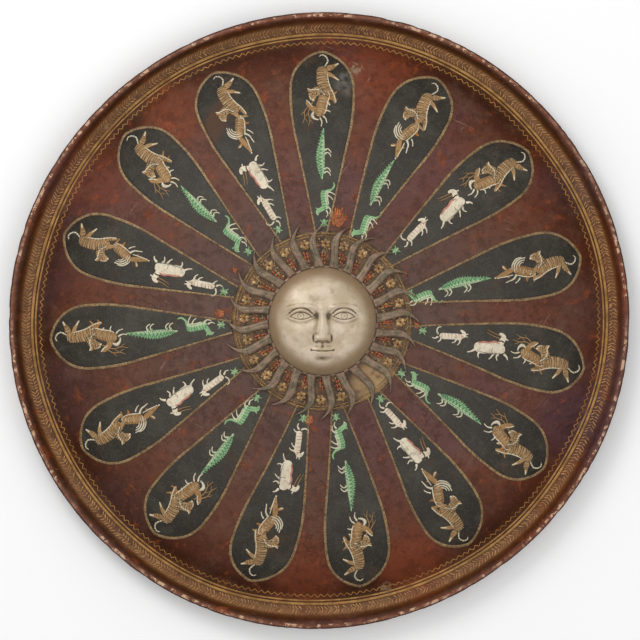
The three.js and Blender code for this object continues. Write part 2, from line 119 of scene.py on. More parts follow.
# ---------------------------------------------------------------- the sun's rays
GAP = 0.3
PLATE_INNER_RADIUS, PLATE_OUTER_RADIUS, PLATE_THICKNESS = 34.0, 49.6, 1.4
RAY_ROOT_RADIUS, RAY_TIP_RADIUS = 48.4, 87.5
RAY_SHARES = [0.0, 0.12, 0.3, 0.5, 0.65, 0.8, 0.92, 1.0]
RAY_TURNS = [0.0, 0.6, 2.0, 3.4, 3.2, 1.0, -2.2, -4.8]      # degrees, at those shares of its length
RAY_HALF_WIDTHS = [5.0, 4.1, 3.6, 3.7, 3.2, 2.1, 1.2, 0.5]
RAY_HEIGHT, RAY_TIP_HEIGHT = 3.6, 1.2
RAY_GROOVE = 0.16                 # depth of the groove along a ray's back, as a share of its height

# ---------------------------------------------------------------- the sun's face
FACE_RADIUS, FACE_RISE, FACE_SHEET = 48.0, 18.0, 1.4
FACE_BULGE_POWER, FACE_FADE_POWER = 2.4, 10
NEAR_STEP, WIDE_STEP = 0.012, 0.054     # how far off a hollow is felt, as shares of the radius
EYE_OFFSET, EYE_HALF_WIDTH = 0.40, 0.20
BROW_HEIGHT, EYE_HEIGHT, NOSE_TIP, MOUTH_HEIGHT, CHIN_HEIGHT = 0.27, 0.08, -0.34, -0.55, -0.82

# ---------------------------------------------------------------- the back's fittings
PAD_HALF_WIDTH, PAD_THICKNESS, PAD_EDGE_THICKNESS, PAD_GAP = 42.0, 13.0, 5.0, 0.5
HANDLE_OFFSET = 52.0
STAPLE_GAP, STAPLE_PLATE_HALF_WIDTH, STAPLE_PLATE_THICKNESS = 0.7, 9.0, 1.6
NAIL_OFFSET = 6.2                # of a nail's head from the plate's middle, along X and Y
STAPLE_HALF_SPAN, STAPLE_HEIGHT, STAPLE_WIRE = 5.6, 10.5, 2.0
RING_HALF_WIDTH, RING_HALF_HEIGHT, RING_SQUARENESS, RING_WIRE, RING_LEAN = 11.0, 9.0, 4.0, 1.8, 45.0
STRAP_LOW_HEIGHT, STRAP_HALF_WIDTH, STRAP_HALF_THICKNESS = 30.0, 12.0, 3.5
STRAP_END_HALF_WIDTH, STRAP_END_HALF_THICKNESS = 6.0, 2.4
LOOP_OUTER_RADIUS, LOOP_INNER_RADIUS = 5.4, 2.8
STAPLE_ANGLE = math.degrees(math.asin(HANDLE_OFFSET / HOLLOW_RADIUS))
EYE_DROP = STAPLE_HEIGHT - 2 * STAPLE_WIRE - RING_WIRE - GAP
EYE_RADIUS = HOLLOW_RADIUS - STAPLE_GAP - EYE_DROP

# ---------------------------------------------------------------- floor, light and camera
CAMERA_DISTANCE = 3.2
FRAME_WIDTH = 0.5803              # of the plane at the rim's height
RIM_PLANE_HEIGHT = 0.020
CAMERA_OFFSET = (0.0008, 0.0005)
FLOOR_REACH, FLOOR_GREY, FLOOR_ROUGHNESS, FLOOR_SPECULAR = 6.0, 0.93, 0.9, 0.1
SKY_STRENGTH = 0.78
# lamp: place in metres, size in metres, power in watts
LAMPS = {"key": ((-0.9, 1.3, 1.5), 1.0, 16.0), "fill": ((1.4, -0.6, 1.6), 1.4, 5.0)}


def cos_d(angle):
    return np.cos(np.radians(angle))


def sin_d(angle):
    return np.sin(np.radians(angle))


def smoothstep(x, low, high):
    t = np.clip((np.asarray(x, float) - low) / (high - low), 0.0, 1.0)
    return t * t * (3.0 - 2.0 * t)


def polar(radius, angle):
    return radius * cos_d(angle), radius * sin_d(angle)


# ---------------------------------------------------------------- the hide's shape
def out_of_round(angle):
    oval = OVAL * cos_d(2 * (angle - OVAL_AXIS))
    square = SQUARENESS * cos_d(4 * (angle - SQUARE_AXIS))
    return (oval + square) / SHIELD_RADIUS


def wander(angle):
    return sum(reach * cos_d(lobes * (angle - first)) for lobes, reach, first in WANDER)


def near_moulding(rho):
    """1 at the rim's moulding, 0 out at the lip and in on the dome."""
    return smoothstep(rho, 205.0, 248.0) * (1.0 - smoothstep(rho, 266.0, 277.0))


def true_radius(rho, angle):
    """Where a place at radius rho on an even shield is on this uneven one."""
    stretch = 1.0 + out_of_round(angle) * np.minimum(1.0, (rho / SHIELD_RADIUS) ** 2)
    return rho * stretch + wander(angle) * near_moulding(rho)


def even_radius(radius, angle):
    """The other way about: a true radius back to the even shield's."""
    rho = np.asarray(radius, float)
    for _ in range(5):
        stretch = 1.0 + out_of_round(angle) * np.minimum(1.0, (rho / SHIELD_RADIUS) ** 2)
        rho = (radius - wander(angle) * near_moulding(rho)) / stretch
    return rho


def dents(x, y):
    """Slow unevenness of hand-moulded hide."""
    return (0.30 * np.sin(x / 47.0 + 0.6) * np.cos(y / 58.0 - 1.1)
            + 0.22 * np.sin((x + y) / 31.0 + 2.0) * np.sin((x - 1.3 * y) / 39.0)
            + 0.10 * np.sin(x / 13.0 - y / 19.0))


def front_profile_height(rho):
    """Height of the even front: the dome, a soft crease, and the hollow that turns the rim up."""
    dome = DOME_CENTRE_HEIGHT + np.sqrt(DOME_RADIUS ** 2 - np.minimum(rho, 270.0) ** 2)
    out = np.clip(rho - RIM_CENTRE_RADIUS, 0.0, CAVETTO_RADIUS * 0.97)
    cavetto = RIM_CENTRE_HEIGHT - np.sqrt(CAVETTO_RADIUS ** 2 - out ** 2)
    crease = 0.9
    high = np.maximum(dome, cavetto)
    return high + crease * np.exp(-np.abs(dome - cavetto) / crease) * 0.5


def front_height(x, y):
    angle = np.degrees(np.arctan2(y, x))
    rho = even_radius(np.hypot(x, y), angle)
    return front_profile_height(rho) + dents(x, y)


def on_front(x, y, lift):
    x, y, lift = np.broadcast_arrays(np.asarray(x, float), y, lift)
    return np.stack([x, y, front_height(x, y) + lift], -1)


def arc(centre_x, centre_y, radius, start, end, steps):
    angles = np.linspace(start, end, steps)
    return np.stack([centre_x + radius * cos_d(angles), centre_y + radius * sin_d(angles)], -1)


# ---------------------------------------------------------------- meshes
def make_object(name, points, faces, material):
    """A mesh object of millimetre points that rides on the shield."""
    mesh = bpy.data.meshes.new(name)
    mesh.from_pydata((np.asarray(points, float) * MM).tolist(), [], faces)
    mesh.update()
    mesh.polygons.foreach_set("use_smooth", np.full(len(mesh.polygons), True))
    mesh.materials.append(material)
    made = bpy.data.objects.new(name, mesh)
    bpy.context.scene.collection.objects.link(made)
    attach(made, "root")
    return made


def add_attribute(made, name, values):
    layer = made.data.attributes.new(name, "FLOAT", "POINT")
    layer.data.foreach_set("value", np.asarray(values, np.float32).ravel())


def grid_faces(rows, columns, offset=0, closed=True, flip=False):
    """Quads between neighbouring points of a grid; closed joins the last column to the first."""
    row, column = np.meshgrid(np.arange(rows - 1), np.arange(columns if closed else columns - 1),
                              indexing="ij")
    following = (column + 1) % columns
    here, there = row * columns, (row + 1) * columns
    quads = np.stack([here + column, here + following, there + following, there + column], -1)
    quads = quads.reshape(-1, 4) + offset
    return quads[:, ::-1] if flip else quads


class Strokes:
    """Many closed solids gathered into one mesh."""

    def __init__(self):
        self.points = []
        self.faces = []
        self.count = 0

    def add_loft(self, rings, joined=False):
        """Skins rings of points, shape (rings, sides, 3), and caps the ends unless they join."""
        rings = np.asarray(rings, float)
        rows, sides, _ = rings.shape
        quads = grid_faces(rows, sides, self.count)
        if joined:
            last, first = self.count + (rows - 1) * sides, self.count
            side = np.arange(sides)
            following = (side + 1) % sides
            seam = np.stack([last + side, last + following, first + following, first + side], -1)
            quads = np.concatenate([quads, seam])
        self.faces.extend(quads.tolist())
        if not joined:
            self.faces.append(list(range(self.count + sides - 1, self.count - 1, -1)))
            end = self.count + (rows - 1) * sides
            self.faces.append(list(range(end, end + sides)))
        self.points.append(rings.reshape(-1, 3))
        self.count += rows * sides

    def add_sheet(self, top, bottom):
        """A closed slab between two equal grids of points, shape (rows, columns, 3)."""
        rows, columns, _ = top.shape
        start, size = self.count, rows * columns
        self.faces.extend(grid_faces(rows, columns, start, closed=False).tolist())
        self.faces.extend(grid_faces(rows, columns, start + size, closed=False, flip=True).tolist())
        edge = list(range(columns))
        edge += [row * columns + columns - 1 for row in range(1, rows)]
        edge += [(rows - 1) * columns + column for column in range(columns - 2, -1, -1)]
        edge += [row * columns for row in range(rows - 2, 0, -1)]
        for here, there in zip(edge, edge[1:] + edge[:1]):
            self.faces.append([start + there, start + here, start + size + here, start + size + there])
        self.points.append(top.reshape(-1, 3))
        self.points.append(bottom.reshape(-1, 3))
        self.count += 2 * size

    def build(self, name, material, slot):
        return outward(make_object(name, np.concatenate(self.points), self.faces, material))


def outward(made):
    """Turns every face of closed solids to the outside."""
    work = bmesh.new()
    work.from_mesh(made.data)
    bmesh.ops.recalc_face_normals(work, faces=work.faces)
    work.to_mesh(made.data)
    work.free()
    return made


def smooth_path(points, steps):
    """A Catmull-Rom curve through a few points, with the same number of steps in each stretch."""
    points = np.asarray(points, float)
    if len(points) == 2:
        return points[0] + np.linspace(0, 1, steps + 1)[:, None] * (points[1] - points[0])
    padded = np.concatenate([[2 * points[0] - points[1]], points, [2 * points[-1] - points[-2]]])
    out = []
    for i in range(len(points) - 1):
        a, b, c, d = padded[i:i + 4]
        t = np.linspace(0, 1, steps, endpoint=False)[:, None]
        out.append(0.5 * (2 * b + (c - a) * t + (2 * a - 5 * b + 4 * c - d) * t ** 2
                          + (3 * b - a - 3 * c + d) * t ** 3))
    return np.concatenate(out + [points[-1:]])


def stroke_rings(points, place, section, low, high, steps=5):
    """Rings of a brush stroke. points are (x, y, half width); place turns plan places into 3-D.

    The stroke's edge lies at height low over the surface, its middle at high, and its ends are
    round.
    """
    path = smooth_path(points, steps)
    length = np.concatenate([[0], np.cumsum(np.hypot(*np.diff(path[:, :2], axis=0).T))])
    total = length[-1]
    first = min(path[0, 2], total / 2)
    last = min(path[-1, 2], total / 2)
    inner = length[(length > first) & (length < total - last)]
    ends = np.array(ROUND_END if section is FILL_SECTION else SHORT_END)
    stations = np.concatenate([ends * first, inner, total - ends[::-1] * last])
    x, y, half = (np.interp(stations, length, path[:, k]) for k in range(3))
    from_start = np.clip(stations / max(first, 1e-6), 0, 1)
    from_end = np.clip((total - stations) / max(last, 1e-6), 0, 1)
    half = half * np.sqrt(1 - (1 - from_start) ** 2) * np.sqrt(1 - (1 - from_end) ** 2)
    along = np.gradient(np.stack([x, y], -1), axis=0)
    along /= np.maximum(np.hypot(along[:, 0], along[:, 1]), 1e-9)[:, None]
    rings = []
    for across, up in section:
        px = x - along[:, 1] * half * across
        py = y + along[:, 0] * half * across
        rings.append(place(px, py, low + (high - low) * up))
    rings.append(place(x, y, np.full_like(x, min(low, 0.0) - STROKE_SINK)))
    return np.stack(rings, 1)


# ---------------------------------------------------------------- materials
def srgb(code):
    """A colour written as six hexadecimal digits, as the linear RGBA that shaders take."""
    channels = [int(code[i:i + 2], 16) / 255 for i in (0, 2, 4)]
    linear = [c / 12.92 if c <= 0.04045 else ((c + 0.055) / 1.055) ** 2.4 for c in channels]
    return (*linear, 1.0)


class Finish:
    """A Principled material, with short ways to add the nodes that feed it."""

    def __init__(self, name, roughness=0.5, metallic=0.0, specular=0.35):
        self.material = bpy.data.materials.new(name)
        self.material.use_nodes = True
        self.tree = self.material.node_tree
        self.shader = self.tree.nodes["Principled BSDF"]
        self.shader.inputs["Roughness"].default_value = roughness
        self.shader.inputs["Metallic"].default_value = metallic
        self.shader.inputs["Specular IOR Level"].default_value = specular
        self.place = self.tree.nodes.new("ShaderNodeTexCoord").outputs["Object"]
        self.heights = []

    def node(self, kind, settings=None, **inputs):
        made = self.tree.nodes.new("ShaderNode" + kind)
        for key, value in (settings or {}).items():
            setattr(made, key, value)
        for key, value in inputs.items():
            self.feed(made.inputs[int(key[1:]) if key[1:].isdigit() else key.replace("_", " ")], value)
        return made

    def feed(self, socket, value):
        if isinstance(value, bpy.types.NodeSocket):
            self.tree.links.new(value, socket)
        else:
            socket.default_value = value

    def noise(self, size, detail=4.0, roughness=0.55, warp=0.0, stretch=(1, 1, 1)):
        """Noise whose blobs are about size millimetres across, from 0 to 1."""
        place = self.node("Mapping", {}, Vector=self.place, Scale=stretch).outputs[0]
        return self.node("TexNoise", {}, Vector=place, Scale=1.0 / (size * MM), Detail=detail,
                         Roughness=roughness, Distortion=warp).outputs["Fac"]

    def cells(self, size, feature="DISTANCE_TO_EDGE", warp=0.0):
        """Cracked or cellular pattern of cells about size millimetres across."""
        place = self.place
        if warp:
            shift = self.node("TexNoise", {}, Vector=place, Scale=1.0 / (size * MM), Detail=3.0)
            place = self.node("MixRGB", {"blend_type": "ADD"}, Fac=warp * size * MM * 2.0,
                              Color1=place, Color2=shift.outputs["Color"]).outputs[0]
        return self.node("TexVoronoi", {"feature": feature}, Vector=place,
                         Scale=1.0 / (size * MM)).outputs["Distance"]

    def attribute(self, name):
        return self.node("Attribute", {"attribute_name": name}).outputs["Fac"]

    def math(self, operation, a, b=0.0):
        return self.node("Math", {"operation": operation, "use_clamp": False}, _0=a, _1=b).outputs[0]

    def band(self, value, low, high):
        """0 below low and 1 above high, or the reverse where high is the smaller."""
        made = self.node("MapRange", {"interpolation_type": "SMOOTHSTEP"}, Value=value)
        ends = (low, high, 0.0, 1.0) if low < high else (high, low, 1.0, 0.0)
        for key, end in zip(("From Min", "From Max", "To Min", "To Max"), ends):
            made.inputs[key].default_value = end
        return made.outputs[0]

    def ramp(self, value, stops):
        made = self.node("ValToRGB", {}, Fac=value)
        elements = made.color_ramp.elements
        while len(elements) < len(stops):
            elements.new(1.0)
        for element, (position, colour) in zip(elements, stops):
            element.position = position
            element.color = srgb(colour)
        return made.outputs[0]

    def mix(self, share, a, b, blend="MIX"):
        a, b = (srgb(c) if isinstance(c, str) else c for c in (a, b))
        return self.node("MixRGB", {"blend_type": blend}, Fac=share, Color1=a, Color2=b).outputs[0]

    def near(self, x, y, radius, stretch=(1.0, 1.0), turn=0.0):
        """1 close to a place on the shield and 0 past radius, all in millimetres."""
        offset = self.node("VectorMath", {"operation": "SUBTRACT"}, _0=self.place,
                           _1=(x * MM, y * MM, 0.0)).outputs[0]
        turned = self.node("VectorRotate", {"rotation_type": "Z_AXIS"}, Vector=offset,
                           Angle=-math.radians(turn)).outputs[0]
        scaled = self.node("VectorMath", {"operation": "MULTIPLY"}, _0=turned,
                           _1=(1.0 / (radius * stretch[0] * MM), 1.0 / (radius * stretch[1] * MM), 0.0))
        length = self.node("VectorMath", {"operation": "LENGTH"}, _0=scaled.outputs[0])
        return self.band(length.outputs["Value"], 1.0, 0.35)

    def colour(self, value):
        self.feed(self.shader.inputs["Base Color"], value)

    def roughness(self, value):
        self.feed(self.shader.inputs["Roughness"], value)

    def bump(self, height, depth):
        """Adds relief of depth millimetres where height goes from 0 to 1."""
        self.heights.append((height, depth))

    def done(self):
        normal = None
        for height, depth in self.heights:
            bump = self.node("Bump", {}, Height=height, Distance=depth * MM, Strength=1.0)
            if normal is not None:
                self.feed(bump.inputs["Normal"], normal)
            normal = bump.outputs[0]
        if normal is not None:
            self.feed(self.shader.inputs["Normal"], normal)
        return self.material


# ---------------------------------------------------------------- the rim's place
def rim_profile(rho):
    """Height of the even hollow moulding at a plan radius, and how far it leans outwards."""
    out = np.clip((rho - RIM_CENTRE_RADIUS) / CAVETTO_RADIUS, 0.0, cos_d(RIM_END_ANGLE))
    height = RIM_CENTRE_HEIGHT - CAVETTO_RADIUS * np.sqrt(1 - out ** 2)
    return height, out


def on_rim(along, rho, lift):
    """A place on the moulding. along is millimetres round a circle of the moulding's radius."""
    angle = np.degrees(np.asarray(along, float) / RIM_CENTRE_RADIUS)
    height, lean = rim_profile(rho)
    inwards = rho - lift * lean
    radius = true_radius(inwards, angle)
    x, y = polar(radius, angle)
    upward = lift * np.sqrt(1 - lean ** 2)
    floor = np.where(rho < RIM_CENTRE_RADIUS, front_profile_height(rho), height)
    return np.stack([x, y, floor + upward + dents(x, y)], -1)


def closed_line(along, rho, half_width, place, low, high):
    """Rings of a painted line that runs right round the shield and meets itself."""
    turn = 2 * math.pi * RIM_CENTRE_RADIUS
    ahead = np.concatenate([along[1:], along[:1] + turn]) - np.concatenate([along[-1:] - turn, along[:-1]])
    rise = np.roll(rho, -1) - np.roll(rho, 1)
    length = np.hypot(ahead, rise)
    rings = []
    for across, up in FILL_SECTION:
        x = along - rise / length * half_width * across
        y = rho + ahead / length * half_width * across
        rings.append(place(x, y, low + (high - low) * up))
    rings.append(place(along, rho, np.full_like(along, -SHEET_SINK)))
    return np.stack(rings, 1)


# ---------------------------------------------------------------- the hide
def hide_profile():
    """Plan radius, height and side (0 front, 1 back) of the even hide's section, crown to crown."""
    dome_radii = np.concatenate([np.linspace(0.6, 230, 24), np.linspace(233, 258.5, 18)])
    dome = np.stack([dome_radii, front_profile_height(dome_radii)], -1)
    moulding = arc(RIM_CENTRE_RADIUS, RIM_CENTRE_HEIGHT, CAVETTO_RADIUS, -88, RIM_END_ANGLE - 1, 14)
    lip = arc(LIP_CENTRE_RADIUS, LIP_CENTRE_HEIGHT, SHIELD_RADIUS - LIP_CENTRE_RADIUS,
              LIP_START_ANGLE, LIP_END_ANGLE, 15)
    under = arc(RIM_CENTRE_RADIUS, RIM_CENTRE_HEIGHT, RIM_CENTRE_HEIGHT, RIM_END_ANGLE - 2, -90, 6)
    foot = math.sqrt(HOLLOW_RADIUS ** 2 - DOME_CENTRE_HEIGHT ** 2)
    back_radii = np.linspace(foot, 0.6, 13)
    back = np.stack([back_radii, DOME_CENTRE_HEIGHT + np.sqrt(HOLLOW_RADIUS ** 2 - back_radii ** 2)], -1)
    points = np.concatenate([dome, moulding, lip, under, back])
    front_count = len(dome) + len(moulding) + 8
    behind = (np.arange(len(points)) >= front_count).astype(float)
    return points, behind


def lip_wear(angle, chance):
    """Uneven height of the lip where the shield was knocked and handled: chips and soft dents."""
    wear = np.zeros_like(angle)
    for _ in range(150):
        centre, width = chance.uniform(0, 360), chance.uniform(0.25, 1.1)
        depth = chance.uniform(0.1, 0.55)
        apart = (angle - centre + 180) % 360 - 180
        wear += depth * np.exp(-(apart / width) ** 2)
    return np.minimum(wear, 1.0)


def make_hide(material, around=900):
    chance = random.Random(11)
    profile, behind = hide_profile()
    rows = len(profile)
    angle = np.arange(around) * 360.0 / around
    rho = np.repeat(profile[:, :1], around, 1)
    height = np.repeat(profile[:, 1:], around, 1)
    angles = np.repeat(angle[None], rows, 0)
    radius = true_radius(rho, angles)
    at_lip = smoothstep(rho, 270.0, 274.0)
    wear = lip_wear(angle, chance)[None] * at_lip
    radius = radius - wear * 0.7 * smoothstep(rho, 276.0, 280.0)
    x, y = polar(radius, angles)
    front = (1.0 - np.repeat(behind[:, None], around, 1)) * (1.0 - at_lip)
    height = height + dents(x, y) * front - wear * 0.8 * (height > LIP_CENTRE_HEIGHT)
    grid = np.stack([x, y, height], -1).reshape(-1, 3)
    top = [0.0, 0.0, CROWN_HEIGHT + float(dents(0.0, 0.0))]
    inside = [0.0, 0.0, CROWN_HEIGHT - HIDE_THICKNESS]
    points = np.concatenate([grid, [top, inside]])
    faces = grid_faces(rows, around).tolist()
    last = (rows - 1) * around
    for here in range(around):
        following = (here + 1) % around
        faces.append([rows * around, following, here])
        faces.append([rows * around + 1, last + here, last + following])
    made = outward(make_object("hide", points, faces, material))
    extra = [0.0, 0.0]
    add_attribute(made, "radius", np.concatenate([rho.ravel(), extra]))
    add_attribute(made, "behind", np.concatenate([np.repeat(behind, around), [0.0, 1.0]]))
    add_attribute(made, "wear", np.concatenate([wear.ravel(), extra]))
    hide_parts("hide_shell")
    return made


def hide_material():
    """Dark red-brown lacquer, greyed on the dome by haze and a painted sheen, and plain brown hide behind."""
    look = Finish("painted_hide", roughness=0.5, specular=0.12)
    radius = look.math("DIVIDE", look.attribute("radius"), 290.0)
    # Colour by radius: greyer over the dome's middle, partly haze and partly a painted sheen of reflected
    # light, redder outwards.
    field_with_sheen = look.ramp(radius, [(0.20, "5C4740"), (0.46, "5D443B"), (0.62, "613E31"), (0.735, "5C3626"),
                               (0.78, "552D1D"), (0.83, "462010"), (0.852, "3A1A0A"), (0.862, "40220D"),
                               (0.895, "4C2A14"), (0.906, "6E4E34"), (0.925, "8A6242"), (0.932, "6A4424")])
    # The lip's colours: a dark band that is partly dark paint and partly painted shade where the moulding
    # meets the lip, a lighter stop of painted highlight along the lip's round top, and a near-black painted
    # shadow where the lip turns under.
    edge = look.ramp(radius, [(0.93, "6A4424"), (0.936, "4C2A12"), (0.944, "3E1F10"), (0.950, "5E3A2A"),
                              (0.957, "80523F"), (0.9645, "4A2A20"), (0.967, "160D0A")])
    colour = look.mix(look.band(radius, 0.9285, 0.9315), field_with_sheen, edge)
    slow = look.noise(170, detail=2.0)
    colour = look.mix(look.math("MULTIPLY", look.band(slow, 0.46, 0.62), 0.34), colour, "6E3218")
    cool = look.noise(210, detail=2.0, stretch=(1.0, 1.3, 1.0))
    colour = look.mix(look.math("MULTIPLY", look.band(cool, 0.52, 0.68), 0.38), colour, "554349")
    for x, y, size, red, share in [
            (53, 222, 46, "7A3A20", 0.55), (-132, 188, 40, "7A3C20", 0.6), (-205, 124, 40, "70371F", 0.5),
            (86, -222, 46, "7C3A1E", 0.55), (-12, -232, 44, "7A3A20", 0.5), (228, -92, 46, "46303A", 0.6),
            (236, 8, 44, "503A34", 0.5), (-228, -66, 50, "47302C", 0.6), (-176, -170, 50, "4A322C", 0.5)]:
        colour = look.mix(look.math("MULTIPLY", look.near(x, y, size), share), colour, red)
    for x, y, size in ((34, 229, 8), (61, -243, 7), (-192, 176, 5)):
        scuff = look.math("MULTIPLY", look.near(x, y, size), look.band(look.noise(4, detail=4.0), 0.40, 0.56))
        colour = look.mix(look.math("MULTIPLY", scuff, 0.8), colour, "9A8268")
    dust = look.noise(26, detail=6.0, roughness=0.65)
    colour = look.mix(look.math("MULTIPLY", look.band(dust, 0.50, 0.72), 0.16), colour, "7E6A5A")
    blotch = look.noise(15, detail=5.0, roughness=0.7, warp=0.6)
    colour = look.mix(look.math("MULTIPLY", look.band(blotch, 0.55, 0.70), 0.60), colour, "8E4420")
    dark = look.noise(9, detail=5.0, roughness=0.7)
    colour = look.mix(look.math("MULTIPLY", look.band(dark, 0.54, 0.38), 0.34), colour, "2C1710")
    grain = look.noise(1.6, detail=3.0, roughness=0.7)
    colour = look.mix(look.math("MULTIPLY", look.band(grain, 0.58, 0.76), 0.28), colour, "A07A62")
    for turn, size in ((0.4, 24.0), (2.2, 31.0)):
        streaks = look.node("VectorRotate", {"rotation_type": "Z_AXIS"}, Vector=look.place, Angle=turn)
        stretched = look.node("Mapping", {}, Vector=streaks.outputs[0], Scale=(0.035, 1.0, 0.2)).outputs[0]
        scratch = look.node("TexNoise", {}, Vector=stretched, Scale=1000 / (size * 0.05), Detail=1.0)
        broken = look.band(look.noise(size), 0.52, 0.64)
        line = look.math("MULTIPLY", look.band(scratch.outputs["Fac"], 0.70, 0.78), broken)
        colour = look.mix(look.math("MULTIPLY", line, 0.30), colour, "B39A86")
    crackle = look.cells(7.0, warp=0.5)
    cracks = look.math("MULTIPLY", look.band(crackle, 0.06, 0.02), look.band(look.noise(60), 0.45, 0.6))
    colour = look.mix(look.math("MULTIPLY", cracks, 0.30), colour, "2A150E")

    knocks = look.attribute("wear")
    chips = look.noise(6.0, detail=5.0, roughness=0.7)
    handled = look.noise(42, detail=3.0)
    at_edge = look.math("MULTIPLY", look.band(radius, 0.9485, 0.953), look.band(radius, 0.9665, 0.9625))
    bare = look.math("ADD", look.math("MULTIPLY", knocks, 0.10), chips)
    bare = look.math("MULTIPLY", look.band(bare, 0.53, 0.59), look.band(handled, 0.40, 0.52))
    bare = look.math("MULTIPLY", bare, at_edge)
    colour = look.mix(look.math("MULTIPLY", bare, 0.9), colour, "D2AC8C")
    slight = look.math("MULTIPLY", look.band(look.noise(7.0, detail=5.0), 0.50, 0.70), at_edge)
    colour = look.mix(look.math("MULTIPLY", slight, 0.6), colour, "A47A66")

    behind = look.band(look.attribute("behind"), 0.3, 0.7)
    plain = look.ramp(look.noise(55, detail=6.0, roughness=0.6),
                      [(0.30, "33201A"), (0.5, "46291E"), (0.7, "5A3A29")])
    pores = look.cells(2.2, feature="F1")
    plain = look.mix(look.math("MULTIPLY", look.band(pores, 0.32, 0.12), 0.35), plain, "21130E")
    look.colour(look.mix(behind, colour, plain))
    gloss = look.math("ADD", look.math("MULTIPLY", look.noise(20, detail=4.0), 0.24), 0.36)
    look.roughness(look.math("ADD", gloss, look.math("MULTIPLY", behind, 0.2)))
    look.bump(look.noise(5.0, detail=5.0, roughness=0.6), 0.10)
    look.bump(look.noise(0.9, detail=2.0), 0.03)
    look.bump(look.band(crackle, 0.0, 0.05), 0.035)
    look.bump(look.math("MULTIPLY", pores, behind), 0.25)
    return look.done()


# ---------------------------------------------------------------- painted petals
def petal_half_width(v):
    v = np.asarray(v, float)
    waist = PETAL_HALF_WIDTH - PETAL_STRAIGHT_INSET
    inner = waist - PETAL_STRAIGHT_SLOPE * (PETAL_STRAIGHT_END - v)
    middle = PETAL_HALF_WIDTH - PETAL_SIDE_CURVE * (PETAL_WIDEST_RADIUS - v) ** 2
    t = np.clip((v - PETAL_WIDEST_RADIUS) / (PETAL_TIP_RADIUS - PETAL_WIDEST_RADIUS), 0, 1)
    outer = PETAL_HALF_WIDTH * (1 - t ** PETAL_TIP_POWERS[0]) ** PETAL_TIP_POWERS[1]
    return np.where(v < PETAL_STRAIGHT_END, inner, np.where(v < PETAL_WIDEST_RADIUS, middle, outer))


def petal_place(index):
    """Turns (u, v, lift) on a petal, u clockwise and v outwards in millimetres, into a place."""
    tip, lean = PETAL_TIP_ANGLES[index], PETAL_ROOT_LEANS[index]

    def place(u, v, lift):
        u, v, lift = np.broadcast_arrays(np.asarray(u, float), v, lift)
        angle = tip + lean * (PETAL_TIP_RADIUS - v) / (PETAL_TIP_RADIUS - PETAL_ROOT_RADIUS)
        x = v * cos_d(angle) + u * sin_d(angle)
        y = v * sin_d(angle) - u * cos_d(angle)
        return on_front(x, y, lift)
    return place


def make_petals(material):
    petals = Strokes()
    v = np.concatenate([np.linspace(PETAL_ROOT_RADIUS, 222, 36),
                        PETAL_TIP_RADIUS - 22.4 * np.linspace(0.95, 0.02, 16) ** 1.5])
    across = np.linspace(-1, 1, 15)
    for index in range(len(PETAL_TIP_ANGLES)):
        place = petal_place(index)
        u = petal_half_width(v)[:, None] * across[None]
        rows = np.repeat(v[:, None], len(across), 1)
        petals.add_sheet(place(u, rows, PETAL_LIFT), place(u, rows, -SHEET_SINK))
    return petals.build("petals", material, "hide")


def petal_material():
    """Black lacquer, finely crackled with age, greyer towards the centre from haze and a painted sheen."""
    look = Finish("petal_black", roughness=0.48, specular=0.10)
    radius = look.node("VectorMath", {"operation": "LENGTH"}, _0=look.node(
        "VectorMath", {"operation": "MULTIPLY"}, _0=look.place, _1=(1.0, 1.0, 0.0)).outputs[0])
    share = look.math("DIVIDE", radius.outputs["Value"], 0.25)
    # Colour by radius: lighter grey towards the shield's centre, partly haze and partly a painted sheen of
    # reflected light, darkest at the tips.
    colour = look.ramp(share, [(0.3, "47433D"), (0.5, "3F3B36"), (0.72, "38342F"), (0.84, "322E28"),
                               (0.93, "2A251F"), (0.99, "211A14")])
    dust = look.noise(30, detail=6.0, roughness=0.65)
    colour = look.mix(look.math("MULTIPLY", look.band(dust, 0.42, 0.70), 0.40), colour, "545048")
    brown = look.noise(24, detail=5.0, roughness=0.6)
    colour = look.mix(look.math("MULTIPLY", look.band(brown, 0.55, 0.72), 0.40), colour, "4E3A2B")
    cells = look.cells(7.5, warp=0.7)
    cracks = look.band(cells, 0.030, 0.008)
    colour = look.mix(look.math("MULTIPLY", cracks, 0.14), colour, "77736A")
    fine = look.band(look.cells(2.6, warp=0.6), 0.06, 0.02)
    colour = look.mix(look.math("MULTIPLY", fine, 0.08), colour, "7A766C")
    speck = look.band(look.noise(1.3, detail=2.0), 0.66, 0.78)
    colour = look.mix(look.math("MULTIPLY", speck, 0.35), colour, "908A7D")
    smear = look.near(-94, 177, 40, stretch=(0.36, 1.0), turn=-28)
    colour = look.mix(look.math("MULTIPLY", smear, 0.6), colour, "5A3926")
    rub = look.math("MULTIPLY", look.near(25, 215, 16), look.band(look.noise(8, detail=4), 0.4, 0.6))
    colour = look.mix(look.math("MULTIPLY", rub, 0.5), colour, "77736A")
    look.colour(colour)
    look.roughness(look.math("ADD", look.math("MULTIPLY", dust, 0.22), 0.36))
    look.bump(look.noise(4.0, detail=5.0), 0.08)
    look.bump(look.band(cells, 0.0, 0.05), 0.05)
    return look.done()


